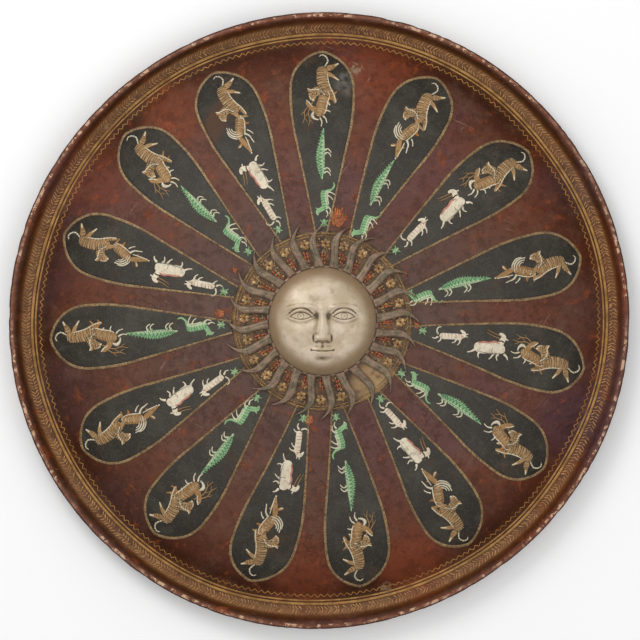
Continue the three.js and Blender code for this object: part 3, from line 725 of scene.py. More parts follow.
class Painter:
    """Gathers the strokes of every figure on the petals, one mesh for each colour of paint.

    A stroke is a list of (u, v, half width) in millimetres on a petal. Feet are towards +u.
    """

    def __init__(self):
        self.paints = {}
        self.chance = random.Random(5)
        self.place = None
        self.shift = (0.0, 0.0)
        self.scale = 1.0
        self.origin = (0.0, 0.0)

    def start(self, index, shift, origin):
        """Begins a figure on a petal: moved by shift and varied in size about its origin."""
        self.place = petal_place(index)
        wobble = self.chance.uniform
        self.shift = (shift[0] + wobble(-0.7, 0.7), shift[1] + wobble(-1.0, 1.0))
        self.scale = 1.0 + wobble(-0.04, 0.04)
        self.origin = origin

    def moved(self, points):
        out = []
        for u, v, half in points:
            u = self.origin[0] + (u - self.origin[0]) * self.scale + self.shift[0]
            v = self.origin[1] + (v - self.origin[1]) * self.scale + self.shift[1]
            out.append((u, v, half * self.scale))
        return out

    def strokes(self, paint):
        return self.paints.setdefault(paint, Strokes())

    def fill(self, paint, points, raise_by=0.0, steps=5):
        rings = stroke_rings(self.moved(points), self.place, FILL_SECTION,
                             FILL_LIFT + raise_by, FILL_LIFT + FILL_CROWN + raise_by, steps)
        self.strokes(paint).add_loft(rings)

    def mark(self, paint, points, raise_by=0.0, steps=4):
        rings = stroke_rings(self.moved(points), self.place, MARK_SECTION,
                             FILL_LIFT + raise_by, MARK_LIFT + raise_by, steps)
        self.strokes(paint).add_loft(rings)

    def bands(self, paint, spine, shares, half, reach=(-0.95, 0.5), bend=1.0, raise_by=0.12):
        """Thin stripes across a stroke's spine, each a little curved."""
        path = smooth_path(spine, 8)
        for share in shares:
            k = min(int(share * (len(path) - 1)), len(path) - 2)
            u, v, width = path[k]
            along = path[k + 1, :2] - path[k, :2]
            along = along / max(np.hypot(*along), 1e-6)
            across = np.array([-along[1], along[0]])
            low, high = reach
            wobble = self.chance.uniform
            low, high = low + wobble(-0.05, 0.1), high + wobble(-0.3, 0.3)
            points = []
            for s in np.linspace(low, high, 4):
                p = np.array([u, v]) + across * s * width + along * bend * (s * s) * wobble(0.6, 1.2)
                points.append((p[0], p[1], half * (1.0 - 0.55 * (s - low) / (high - low))))
            self.mark(paint, points, raise_by, steps=3)


def paint_tiger(art, index):
    art.start(index, (0, 0), (0, 215))
    body = [(0.8, 230, 4.4), (0.3, 225, 5.3), (-0.2, 218.7, 5.0), (1.2, 211, 5.5), (2.6, 205.5, 6.0),
            (1.6, 200.5, 4.0)]
    art.fill("tan", [(4.0, 227.5, 3.6), (8.5, 229, 2.3), (11.8, 231, 1.4), (13.6, 232, 1.0)])
    art.fill("tan", [(3.5, 223, 2.4), (8.0, 221.5, 1.7), (12.0, 218.8, 1.1), (14.0, 217.4, 0.8)])
    art.fill("tan", [(5.0, 209.5, 3.2), (8.8, 204, 2.2), (10.6, 199, 1.4), (11.6, 196, 1.0)])
    art.fill("tan", [(2.0, 203, 2.6), (4.0, 198, 1.6), (6.4, 194.6, 1.0)])
    art.fill("tan", body, 0.02)
    art.fill("tan", [(0.5, 208.5, 4.8), (-4.5, 207, 4.2), (-8.3, 204.6, 4.0), (-8.6, 201, 3.1),
                     (-7.8, 198.2, 2.0)], 0.04)
    art.fill("tan", [(-11.0, 206.5, 1.7), (-12.8, 208.6, 1.2)], 0.02)
    tail = [(2.2, 229.5, 0.9), (3.3, 231.2, 0.75), (5.0, 234.9, 0.7), (3.4, 238.6, 0.7),
            (0.0, 240.3, 0.65), (-2.7, 238.8, 0.5)]
    art.mark("cream", tail)
    art.bands("dark", tail, np.linspace(0.12, 0.95, 8), 0.34, (-1.0, 1.0), 0.0)
    art.mark("cream", [(-13.2, 209.3, 0.5), (-10.0, 207.8, 0.8), (-5.5, 208.6, 0.95), (-1.0, 206.8, 0.9),
                       (2.2, 203.2, 0.6)], 0.06)
    art.mark("cream", [(4.2, 224, 0.35), (5.3, 216, 0.6), (7.6, 209, 0.55), (10.2, 203.5, 0.5),
                       (12.0, 197, 0.6)], 0.06)
    art.mark("cream", [(10.6, 230.2, 0.5), (12.6, 231.4, 0.9), (14.6, 232.5, 0.7)], 0.04)
    art.mark("cream", [(9.8, 220.2, 0.5), (12.4, 218.6, 0.8), (14.6, 217.0, 0.6)], 0.04)
    art.mark("cream", [(4.8, 196.2, 0.5), (6.8, 194.2, 0.7)], 0.04)
    art.mark("cream", [(-8.6, 199.8, 1.1), (-7.6, 197.4, 0.9)], 0.08)
    art.mark("cream", [(-11.4, 203.6, 0.35), (-11.0, 201.0, 0.55), (-9.6, 198.8, 0.4)], 0.06)
    art.mark("dark", [(-9.4, 203.5, 0.5), (-8.5, 203.9, 0.45)], 0.14)
    art.mark("dark", [(-8.6, 197.6, 0.45), (-7.0, 197.2, 0.4)], 0.16)
    art.mark("dark", [(-5.2, 206.0, 0.35), (-5.6, 203.6, 0.3)], 0.14)
    art.bands("dark", body, np.linspace(0.03, 0.9, 15), 0.40, (-0.98, 0.45))
    art.bands("dark", body, np.linspace(0.08, 0.86, 11), 0.32, (0.95, 0.40))
    art.bands("cream", body, np.linspace(0.06, 0.84, 8), 0.22, (-0.9, 0.1))
    neck = [(0.5, 208.5, 4.8), (-4.5, 207, 4.2), (-8.3, 204.6, 4.0), (-8.6, 201, 3.1)]
    art.bands("dark", neck, np.linspace(0.05, 0.95, 8), 0.34, (-0.9, 0.55))
    art.bands("cream", neck, np.linspace(0.1, 0.9, 5), 0.2, (-0.2, 0.8))
    art.bands("dark", [(4.0, 227.5, 3.4), (8.5, 229, 2.2), (11.8, 231, 1.3)],
              (0.35, 0.6, 0.8), 0.3, (-0.9, 0.6))
    art.bands("dark", [(5.0, 209.5, 3.0), (8.8, 204, 2.1), (10.6, 199, 1.3)],
              (0.4, 0.6, 0.8), 0.3, (-0.9, 0.5))


def paint_fur(art, spine):
    """Fine light and dark hairs along a deer's body."""
    art.bands("brown_line", spine, np.linspace(0.06, 0.94, 12), 0.26, (-0.95, -0.2), 2.4)
    art.bands("cream", spine, np.linspace(0.04, 0.92, 10), 0.22, (-0.5, 0.4), 2.4)
    art.bands("brown_line", spine, np.linspace(0.1, 0.9, 8), 0.24, (0.9, 0.3), 2.0)


def paint_stag(art, index):
    art.start(index, (0, 0), (0, 195))
    body = [(4.0, 207.5, 3.2), (3.0, 204, 4.6), (1.2, 198.5, 4.9), (-0.6, 192, 5.1), (-2.2, 186.5, 4.6),
            (-2.6, 183.5, 3.2)]
    art.fill("deer", [(5.5, 206, 2.6), (9.5, 204.6, 1.5), (12.6, 206.2, 0.7), (14.0, 207.6, 0.5)])
    art.fill("tawny", [(5.0, 202.5, 2.4), (9.0, 200.6, 1.2), (13.2, 199.4, 0.6), (14.4, 200.6, 0.45)])
    art.fill("deer", body, 0.02)
    art.fill("deer", [(-2.0, 188.5, 3.6), (-6.8, 190.2, 2.8), (-10.6, 193, 2.2), (-13.0, 195.6, 1.6),
                      (-13.6, 198.2, 0.9)], 0.03)
    art.mark("deer", [(-9.6, 194.6, 0.8), (-8.2, 197.4, 0.5)], 0.02)
    art.mark("cream", [(-14.2, 199.0, 0.5), (-11.6, 196.6, 0.7), (-8.6, 192.4, 0.5)], 0.06)
    art.mark("cream", [(-7.2, 188.0, 0.7), (-8.6, 184.4, 1.7), (-6.0, 181.4, 1.0), (-2.6, 180.6, 0.5)], 0.02)
    art.mark("cream", [(5.6, 207.6, 0.4), (7.2, 203.4, 0.5), (5.4, 197.4, 0.65), (4.2, 191.0, 0.6),
                       (2.4, 186.0, 0.4)], 0.06)
    art.mark("cream", [(3.2, 188.8, 0.9), (5.4, 189.4, 0.6), (8.2, 188.0, 0.4)], 0.04)
    art.mark("cream", [(0.8, 184.6, 1.0), (3.6, 181.8, 0.6), (4.8, 177.6, 0.45)], 0.04)
    art.mark("cream", [(-1.6, 182.8, 1.0), (0.2, 178.4, 0.6), (-0.6, 174.2, 0.4)], 0.04)
    art.mark("dark", [(-12.0, 195.8, 0.4), (-11.6, 195.2, 0.35)], 0.12)
    for start, bends in (((-12.6, 192.8), ((-15.8, 188.0), (-15.6, 182.0), (-17.6, 176.6))),
                         ((-11.0, 192.0), ((-12.2, 186.4), (-10.8, 180.6), (-12.0, 174.4)))):
        beam = [(*start, 0.5)] + [(u, v, h) for (u, v), h in zip(bends, (0.5, 0.42, 0.25))]
        art.mark("deer", beam)
        for (u, v), (du, dv) in zip(bends, ((-2.8, -3.6), (2.6, -4.2), (0, 0))):
            if du:
                art.mark("deer", [(u, v, 0.35), (u + du * 0.6, v + dv * 0.4, 0.32), (u + du, v + dv, 0.2)])
    paint_fur(art, body)
    for u, v in ((0.5, 203), (-1.0, 198.5), (2.2, 199.5), (-2.4, 193.5), (0.4, 194.4), (-3.6, 189),
                 (-0.8, 188.8)):
        art.mark("cream", [(u, v, 0.32), (u + 0.3, v - 0.5, 0.3)], 0.14, steps=1)


def paint_doe(art, index):
    art.start(index, (0, 0), (0, 182))
    body = [(4.6, 199, 2.6), (4.2, 196, 3.8), (2.8, 191.6, 4.5), (0.4, 186.6, 4.3), (-1.8, 181.8, 3.7),
            (-2.2, 178.6, 2.6)]
    art.fill("deer", [(6.0, 197.5, 1.8), (9.6, 196.6, 1.1), (13.0, 195.4, 0.5)])
    art.fill("tawny", [(5.4, 193.5, 2.0), (8.6, 190.0, 1.1), (11.2, 189.6, 0.6)])
    art.fill("deer", body, 0.02)
    art.fill("deer", [(-2.4, 179.5, 2.6), (-1.2, 175.6, 2.3), (0.3, 170.4, 2.2), (1.4, 165.8, 1.4),
                      (2.0, 162.8, 0.9)], 0.03)
    art.fill("deer", [(-2.6, 174.0, 0.8), (-5.2, 172.2, 1.4), (-7.4, 171.2, 0.9)], 0.02)
    art.fill("deer", [(2.2, 174.4, 0.7), (4.6, 173.6, 0.9)], 0.02)
    art.mark("cream", [(-3.6, 172.8, 0.3), (-5.6, 171.6, 0.6), (-7.0, 171.0, 0.4)], 0.08)
    art.mark("cream", [(2.6, 178.6, 0.4), (2.8, 173.6, 0.5), (2.6, 168.2, 0.5), (2.6, 163.6, 0.4)], 0.08)
    art.mark("cream", [(1.6, 163.0, 0.8), (2.2, 161.4, 0.7)], 0.10)
    art.mark("dark", [(0.4, 169.4, 0.45), (1.0, 168.6, 0.4)], 0.14)
    for points in (
            [(-10.0, 193.2, 0.45), (-9.6, 186.6, 0.65), (-5.4, 181.8, 0.75), (1.2, 180.6, 0.55)],
            [(-8.2, 192.2, 0.4), (-7.8, 187.4, 0.6), (-4.4, 183.6, 0.65), (0.0, 182.8, 0.5)],
            [(-6.4, 190.6, 0.35), (-6.0, 187.6, 0.5), (-3.4, 185.4, 0.5)],
            [(-11.2, 189.6, 0.35), (-10.4, 184.4, 0.55), (-6.4, 180.2, 0.6), (-2.6, 178.8, 0.45)]):
        art.mark("cream", points, 0.04)
    art.mark("cream", [(5.8, 199.2, 0.4), (7.6, 194.6, 0.5), (6.6, 189.4, 0.6), (4.8, 184.6, 0.5),
                       (2.6, 180.2, 0.4)], 0.06)
    art.mark("cream", [(3.4, 181.6, 1.1), (6.4, 178.0, 0.75), (7.2, 174.2, 0.55), (8.0, 170.4, 0.45)], 0.03)
    art.mark("cream", [(6.4, 184.2, 0.8), (9.0, 181.4, 0.5), (10.4, 178.4, 0.4)], 0.03)
    paint_fur(art, body)
    for u, v in ((3.4, 196), (1.6, 193.4), (4.4, 192.2), (0.4, 189.6), (2.8, 188.2), (-1.2, 185.4),
                 (0.8, 183.6)):
        art.mark("cream", [(u, v, 0.32), (u + 0.3, v - 0.5, 0.3)], 0.14, steps=1)


def paint_crocodile(art, index, tail_tip):
    art.start(index, (0, 0), (0, tail_tip))
    shape = [(0.0, 0.4, 1.6), (0.14, 1.4, 0.9), (0.32, 2.6, 0.0), (0.48, 3.6, -0.8), (0.63, 3.8, -0.9),
             (0.76, 3.1, -0.4), (0.85, 2.3, 0.0), (0.93, 1.3, 0.2), (1.0, 0.7, 0.3)]
    spine = [(bend, tail_tip - CROCODILE_LENGTH * share, half) for share, half, bend in shape]
    art.fill("green", spine)
    path = smooth_path(spine, 6)
    art.mark("light_green", [(u + half * 0.35, v, half * 0.5) for u, v, half in spine[1:-1]], -0.02)
    for k in range(4, len(path) - 8, 2):
        u, v, half = path[k]
        art.mark("green", [(u - half * 0.8, v + 0.5, 0.7), (u - half - 1.2, v + 0.9, 0.15)], -0.05, steps=1)
    for k in range(5, len(path) - 6, 3):
        u, v, half = path[k]
        for lean in (-1, 1):
            art.mark("deep_green", [(u - half * 0.85, v - 1.5 * lean, 0.24), (u, v, 0.3),
                                    (u + half * 0.85, v + 1.5 * lean, 0.24)], 0.12, steps=2)
    art.mark("cream", [(u + half * 0.72, v, 0.28) for u, v, half in path[8:-8:4]], 0.10, steps=2)
    for share, toes in ((0.36, 2), (0.72, 2)):
        k = int(share * (len(path) - 1))
        u, v, half = path[k]
        for toe in range(toes):
            at = v - 3.4 * toe
            art.mark("cream", [(u + half * 0.7, at + 1.0, 0.7), (u + half + 2.4, at + 2.2, 0.6),
                               (u + half + 4.6, at + 0.6, 0.5), (u + half + 5.6, at - 1.6, 0.35)])
            art.mark("green", [(u + half * 0.6, at + 0.2, 0.8), (u + half + 1.8, at + 1.0, 0.5)], 0.06)
    art.mark("cream", [(0.9, tail_tip - 0.86 * CROCODILE_LENGTH, 0.4),
                       (0.8, tail_tip - CROCODILE_LENGTH, 0.35)], 0.1)
    eye = tail_tip - 0.82 * CROCODILE_LENGTH
    art.mark("cream", [(-0.9, eye, 0.6), (-0.6, eye - 0.4, 0.5)], 0.14, steps=1)
    art.mark("dark", [(-0.8, eye - 0.1, 0.28), (-0.7, eye - 0.3, 0.25)], 0.28, steps=1)


def paint_green_beast(art, index, drop):
    art.start(index, (0, drop), (3, 108))
    art.fill("green", [(10.6, 125.0, 0.5), (11.2, 121.5, 0.8), (8.4, 118.0, 1.0), (4.0, 116.6, 1.6)])
    body = [(3.2, 117.5, 2.6), (2.0, 114.5, 3.4), (2.2, 109.5, 3.3), (3.2, 104.0, 3.5), (3.6, 99.6, 2.6)]
    art.fill("green", body, 0.02)
    art.mark("light_green", [(u + half * 0.4, v, half * 0.5) for u, v, half in body], 0.04)
    art.fill("green", [(3.0, 101.6, 2.6), (-0.4, 99.6, 2.2), (-3.4, 97.6, 2.1), (-4.2, 94.6, 1.2)], 0.03)
    art.fill("green", [(-3.2, 99.2, 0.8), (-5.6, 100.8, 0.5)], 0.02)
    art.bands("deep_green", body, np.linspace(0.08, 0.92, 8), 0.34, (-0.95, 0.7), 0.8)
    art.mark("cream", [(5.4, 116.4, 0.4), (5.2, 110.0, 0.6), (6.4, 104.4, 0.5)], 0.08)
    for points in (
            [(4.4, 116.0, 1.0), (8.4, 115.4, 0.6), (12.2, 113.2, 0.45)],
            [(4.6, 112.8, 0.9), (8.0, 111.2, 0.55), (10.2, 108.4, 0.4)],
            [(5.6, 102.4, 0.9), (8.0, 99.2, 0.55), (7.2, 95.4, 0.4)],
            [(4.0, 99.0, 0.9), (5.6, 95.4, 0.5), (4.2, 92.4, 0.35)]):
        art.mark("cream", points)
    art.mark("cream", [(-4.4, 95.2, 0.5), (-3.0, 94.0, 0.4)], 0.10)
    art.mark("cream", [(-2.8, 97.8, 0.45), (-2.4, 97.4, 0.4)], 0.14, steps=1)
    art.mark("dark", [(-2.7, 97.7, 0.22), (-2.6, 97.5, 0.2)], 0.26, steps=1)


def paint_fish(art, index, u, v):
    art.start(index, (0, 0), (u, v))
    art.fill("green", [(u, v + 3.4, 0.3), (u, v + 1.6, 1.5), (u, v, 2.0), (u, v - 1.8, 1.4),
                       (u, v - 3.6, 0.4)])
    for du, dv in ((3.8, 2.6), (-3.8, 2.6), (3.4, -3.0), (-3.4, -3.0)):
        art.mark("green", [(u + du * 0.25, v + dv * 0.25, 0.8), (u + du, v + dv, 0.3)], -0.02)
    art.bands("deep_green", [(u, v + 3, 1.0), (u, v, 1.9), (u, v - 3, 1.0)],
              (0.3, 0.5, 0.7), 0.25, (-0.8, 0.8), 0.3)
    art.mark("cream", [(u, v + 2.6, 0.25), (u, v - 2.6, 0.3)], 0.16)


def paint_cow(art, index, drop):
    art.start(index, (0, drop), (0, 154))
    body = [(1.0, 168.5, 2.6), (-0.6, 165.2, 4.4), (-1.6, 160.4, 5.4), (-0.2, 154.8, 4.8), (0.8, 149.4, 5.2),
            (1.4, 144.6, 4.6), (2.6, 141.2, 2.8)]
    art.fill("white", [(2.6, 168.0, 1.4), (4.8, 171.2, 0.7), (7.2, 172.2, 0.45)])
    art.fill("white", body, 0.02)
    art.fill("white", [(-3.4, 163.6, 3.4), (-7.4, 164.6, 2.6), (-11.2, 166.0, 2.3), (-13.4, 164.2, 1.6),
                       (-13.8, 161.4, 1.0)], 0.03)
    art.mark("white", [(-10.6, 167.8, 0.8), (-9.6, 170.4, 0.5)])
    art.mark("deep_brown", [(-7.2, 167.0, 0.8), (-8.0, 164.4, 0.9), (-7.2, 161.8, 0.7)], 0.08)
    for side in (0.0, 2.6):
        art.mark("deer", [(-12.4 + side, 163.4, 0.45), (-13.4 + side, 157.0, 0.4),
                          (-15.4 + side, 150.6, 0.22)])
    art.mark("pink", [(-5.4, 163.2, 0.7), (-6.2, 158.6, 1.1), (-4.4, 154.0, 1.0), (-4.0, 149.0, 1.1),
                      (-2.2, 144.2, 0.7)], 0.05)
    for u, v in ((-3.8, 161.8), (-4.6, 158.4), (-2.8, 156.4), (-2.6, 151.6), (-3.2, 148.2), (-1.2, 146.0),
                 (-1.6, 159.6), (-0.8, 150.2)):
        art.mark("red", [(u, v, 0.36), (u + 0.2, v - 0.4, 0.32)], 0.14, steps=1)
    art.mark("grey_line", [(-0.8, 157.8, 0.25), (1.8, 157.2, 0.35), (4.0, 158.4, 0.25)], 0.12)
    art.mark("grey_line", [(2.6, 165.0, 0.3), (4.4, 160.6, 0.4), (4.8, 151.0, 0.4), (4.6, 145.0, 0.3)], 0.10)
    for points in (
            [(3.2, 163.6, 1.4), (6.6, 162.0, 0.7), (9.6, 163.4, 0.45)],
            [(3.8, 159.4, 1.2), (7.4, 157.6, 0.6), (9.8, 155.6, 0.45)],
            [(4.0, 147.0, 1.4), (7.6, 145.6, 0.7), (10.2, 146.6, 0.45)],
            [(3.2, 142.8, 1.3), (5.8, 139.4, 0.7), (7.2, 135.8, 0.45)]):
        art.mark("white", points)
    art.mark("dark", [(-12.0, 165.4, 0.35), (-11.6, 165.0, 0.3)], 0.14, steps=1)


def paint_dog(art, index, drop):
    art.start(index, (0, drop), (-3, 117))
    body = [(-4.0, 128.6, 2.2), (-4.2, 124.6, 2.9), (-3.6, 118.6, 2.7), (-2.8, 112.6, 2.8),
            (-2.2, 107.4, 2.6)]
    art.fill("white", body, 0.02)
    art.fill("white", [(-4.4, 127.4, 2.4), (-7.2, 129.6, 1.9), (-9.2, 128.2, 1.4), (-10.4, 125.6, 0.8)], 0.03)
    art.mark("white", [(-7.4, 130.8, 0.7), (-8.4, 133.4, 0.35)])
    art.mark("white", [(-5.6, 130.8, 0.7), (-5.6, 133.2, 0.35)])
    art.mark("white", [(-3.2, 106.4, 0.9), (-6.4, 104.6, 0.7), (-9.6, 105.6, 0.55), (-10.4, 108.4, 0.3)])
    for points in (
            [(-2.6, 126.6, 1.2), (1.0, 126.2, 0.6), (3.4, 124.4, 0.4)],
            [(-2.4, 123.4, 1.1), (0.8, 121.8, 0.55), (2.2, 119.4, 0.4)],
            [(-1.4, 109.4, 1.2), (1.6, 108.6, 0.6), (3.6, 106.6, 0.4)],
            [(-1.6, 106.6, 1.1), (0.6, 103.8, 0.6), (0.2, 100.8, 0.4)]):
        art.mark("white", points)
    art.bands("pink", body, np.linspace(0.1, 0.9, 7), 0.36, (-0.95, 0.5), 0.6)
    art.mark("red", [(-5.8, 127.2, 0.4), (-4.6, 129.6, 0.35)], 0.12)
    art.mark("dark", [(-8.2, 128.8, 0.3), (-7.9, 128.5, 0.28)], 0.16, steps=1)


def paint_petal_figures(art, index):
    doe = index in PETALS_WITH_DOE
    paint_tiger(art, index)
    if doe:
        paint_doe(art, index)
    else:
        paint_stag(art, index)
    if index in PETALS_WITH_WHITE_ANIMALS:
        paint_cow(art, index, -13.0 if doe else 0.0)
        paint_dog(art, index, -8.5 if doe else 0.0)
        paint_fish(art, index, -3.2, 89.0 if doe else 93.0)
    else:
        paint_crocodile(art, index, 158.0 if doe else 174.0)
        paint_green_beast(art, index, -14.0 if doe else 0.0)
        if not doe:
            paint_fish(art, index, 2.4, 88.0)


def paint_material(name):
    """A layer of old paint: its colour thins and breaks up, and dust lies in it."""
    main, worn, share = PAINTS[name]
    look = Finish(f"paint_{name}", roughness=0.5, specular=0.12)
    thin = look.noise(4.2, detail=5.0, roughness=0.68)
    colour = look.mix(look.math("MULTIPLY", look.band(thin, 0.48, 0.66), share * 1.3), main, worn)
    tone = look.noise(17, detail=3.0)
    colour = look.mix(look.math("MULTIPLY", look.band(tone, 0.35, 0.65), 0.25), colour, worn)
    dust = look.band(look.noise(1.2, detail=2.0), 0.60, 0.74)
    colour = look.mix(look.math("MULTIPLY", dust, 0.25), colour, "8C867A" if name == "dark" else "2E2A24")
    look.colour(colour)
    look.bump(look.noise(1.5, detail=3.0), 0.06)
    return look.done()


def paint_animals():
    art = Painter()
    for index in range(len(PETAL_TIP_ANGLES)):
        paint_petal_figures(art, index)
    for name, strokes in art.paints.items():
        strokes.build(f"figures_{name}", paint_material(name), "hide")


# ---------------------------------------------------------------- gilding
def gilt_material(name, bright, dull, cracks=True, wear=0.5):
    """Gold paint, browned by old varnish and broken by dark cracks."""
    look = Finish(name, roughness=0.46, specular=0.35, metallic=0.15)
    tone = look.noise(11, detail=5.0, roughness=0.65)
    colour = look.mix(look.band(tone, 0.36, 0.64), bright, dull)
    lost = look.noise(2.6, detail=5.0, roughness=0.72)
    colour = look.mix(look.math("MULTIPLY", look.band(lost, 0.54, 0.68), wear * 1.4), colour, "402517")
    if cracks:
        lines = look.band(look.cells(3.0, warp=0.5), 0.09, 0.03)
        colour = look.mix(look.math("MULTIPLY", lines, 0.65), colour, "38241A")
    look.colour(colour)
    look.bump(look.noise(1.4, detail=3.0), 0.07)
    return look.done()


def make_petal_outlines(material):
    outlines = Strokes()
    root_half, tip_half = 0.85, 1.25
    v = np.concatenate([np.linspace(PETAL_ROOT_RADIUS, 218, 48),
                        PETAL_TIP_RADIUS - 26.4 * np.linspace(0.95, 0.0, 16) ** 1.9])
    half = root_half + (tip_half - root_half) * smoothstep(v, 90, 190)
    side = petal_half_width(v)
    left = np.stack([-side, v, half], -1)
    right = np.stack([side, v, half], -1)[::-1]
    for index in range(len(PETAL_TIP_ANGLES)):
        path = np.concatenate([left, right[1:]])
        rings = stroke_rings(path, petal_place(index), FILL_SECTION, 0.30, 0.52, steps=1)
        outlines.add_loft(rings)
    return outlines.build("petal_outlines", material, "hide")


def make_rim_lines(line_material, zigzag_material):
    lines, zigzag = Strokes(), Strokes()
    chance = random.Random(23)
    turn = 2 * math.pi * RIM_CENTRE_RADIUS
    along = np.linspace(0, turn, 720, endpoint=False)
    for radius, half in zip(GOLD_LINE_RADII, (0.75, 1.15)):
        rings = closed_line(along, np.full_like(along, radius), np.full_like(along, half), on_rim, 0.10, 0.30)
        lines.add_loft(rings, joined=True)
    steps = ZIGZAG_TEETH * 4
    along = np.linspace(0, turn, steps, endpoint=False)
    wave = np.array([0.0, 1.0, 0.0, -1.0] * ZIGZAG_TEETH)
    reach = 1.35 + 0.25 * np.array([chance.uniform(-1, 1) for _ in range(steps)])
    slack = np.array([chance.uniform(-0.25, 0.25) for _ in range(steps)])
    rings = closed_line(along + slack, ZIGZAG_RADIUS + wave * reach, np.full(steps, 0.46), on_rim, 0.10, 0.26)
    zigzag.add_loft(rings, joined=True)
    lines.build("rim_gold_lines", line_material, "hide")
    zigzag.build("rim_zigzag", zigzag_material, "hide")


def make_rim_hatching(material, dark_material):
    """Slanting brush strokes of gold in the hollow of the rim, with dark ones between."""
    gold, dark = Strokes(), Strokes()
    chance = random.Random(31)
    turn = 2 * math.pi * RIM_CENTRE_RADIUS
    count = 560
    for k in range(count):
        middle = turn * (k + chance.uniform(-0.15, 0.15)) / count
        for low, high, lean, half in ((261.9, 265.0, 1.5, 0.55), (265.2, 268.8, -1.5, 0.6)):
            if chance.random() < 0.10:
                continue
            low, high = low + chance.uniform(-0.3, 0.3), high + chance.uniform(-0.5, 0.3)
            bend, lean = chance.uniform(-0.5, 0.5), lean * chance.uniform(0.2, 1.25)
            half = half * chance.uniform(0.75, 1.35)
            points = [(middle - lean, low, half * 0.6), (middle + bend, (low + high) / 2, half),
                      (middle + lean, high, half * 0.55)]
            gold.add_loft(stroke_rings(points, on_rim, MARK_SECTION, 0.08, 0.26, steps=2))
    for k in range(count // 2):
        middle = turn * (k + chance.uniform(-0.2, 0.2)) / (count // 2)
        points = [(middle - 0.9, 269.2, 0.3), (middle + 0.9, 271.0 + chance.uniform(-0.3, 0.2), 0.22)]
        dark.add_loft(stroke_rings(points, on_rim, MARK_SECTION, 0.06, 0.2, steps=2))
    gold.build("rim_hatching", material, "hide")
    dark.build("rim_dark_hatching", dark_material, "hide")


# ---------------------------------------------------------------- the ornament round the sun
def sun_place(radius, angle, lift):
    """A place by radius and angle about the sun's own centre, lifted off the hide."""
    x, y = polar(radius, angle)
    return on_front(x + SUN_CENTRE[0], y + SUN_CENTRE[1], lift)


def sun_plan(x, y, lift):
    return on_front(x + SUN_CENTRE[0], y + SUN_CENTRE[1], lift)


def ring_sheet(strokes, inner, outer, low, high, rows=4, around=360):
    """A flat painted ring about the sun's centre, closed underneath."""
    angle = np.arange(around) * 360.0 / around
    profile = [(inner, low)] + [(r, high) for r in np.linspace(inner + 0.3, outer - 0.3, rows)]
    profile += [(outer, low), ((inner + outer) / 2, -0.3)]
    rings = np.stack([sun_place(radius, angle, lift) for radius, lift in profile], 1)
    strokes.add_loft(rings, joined=True)


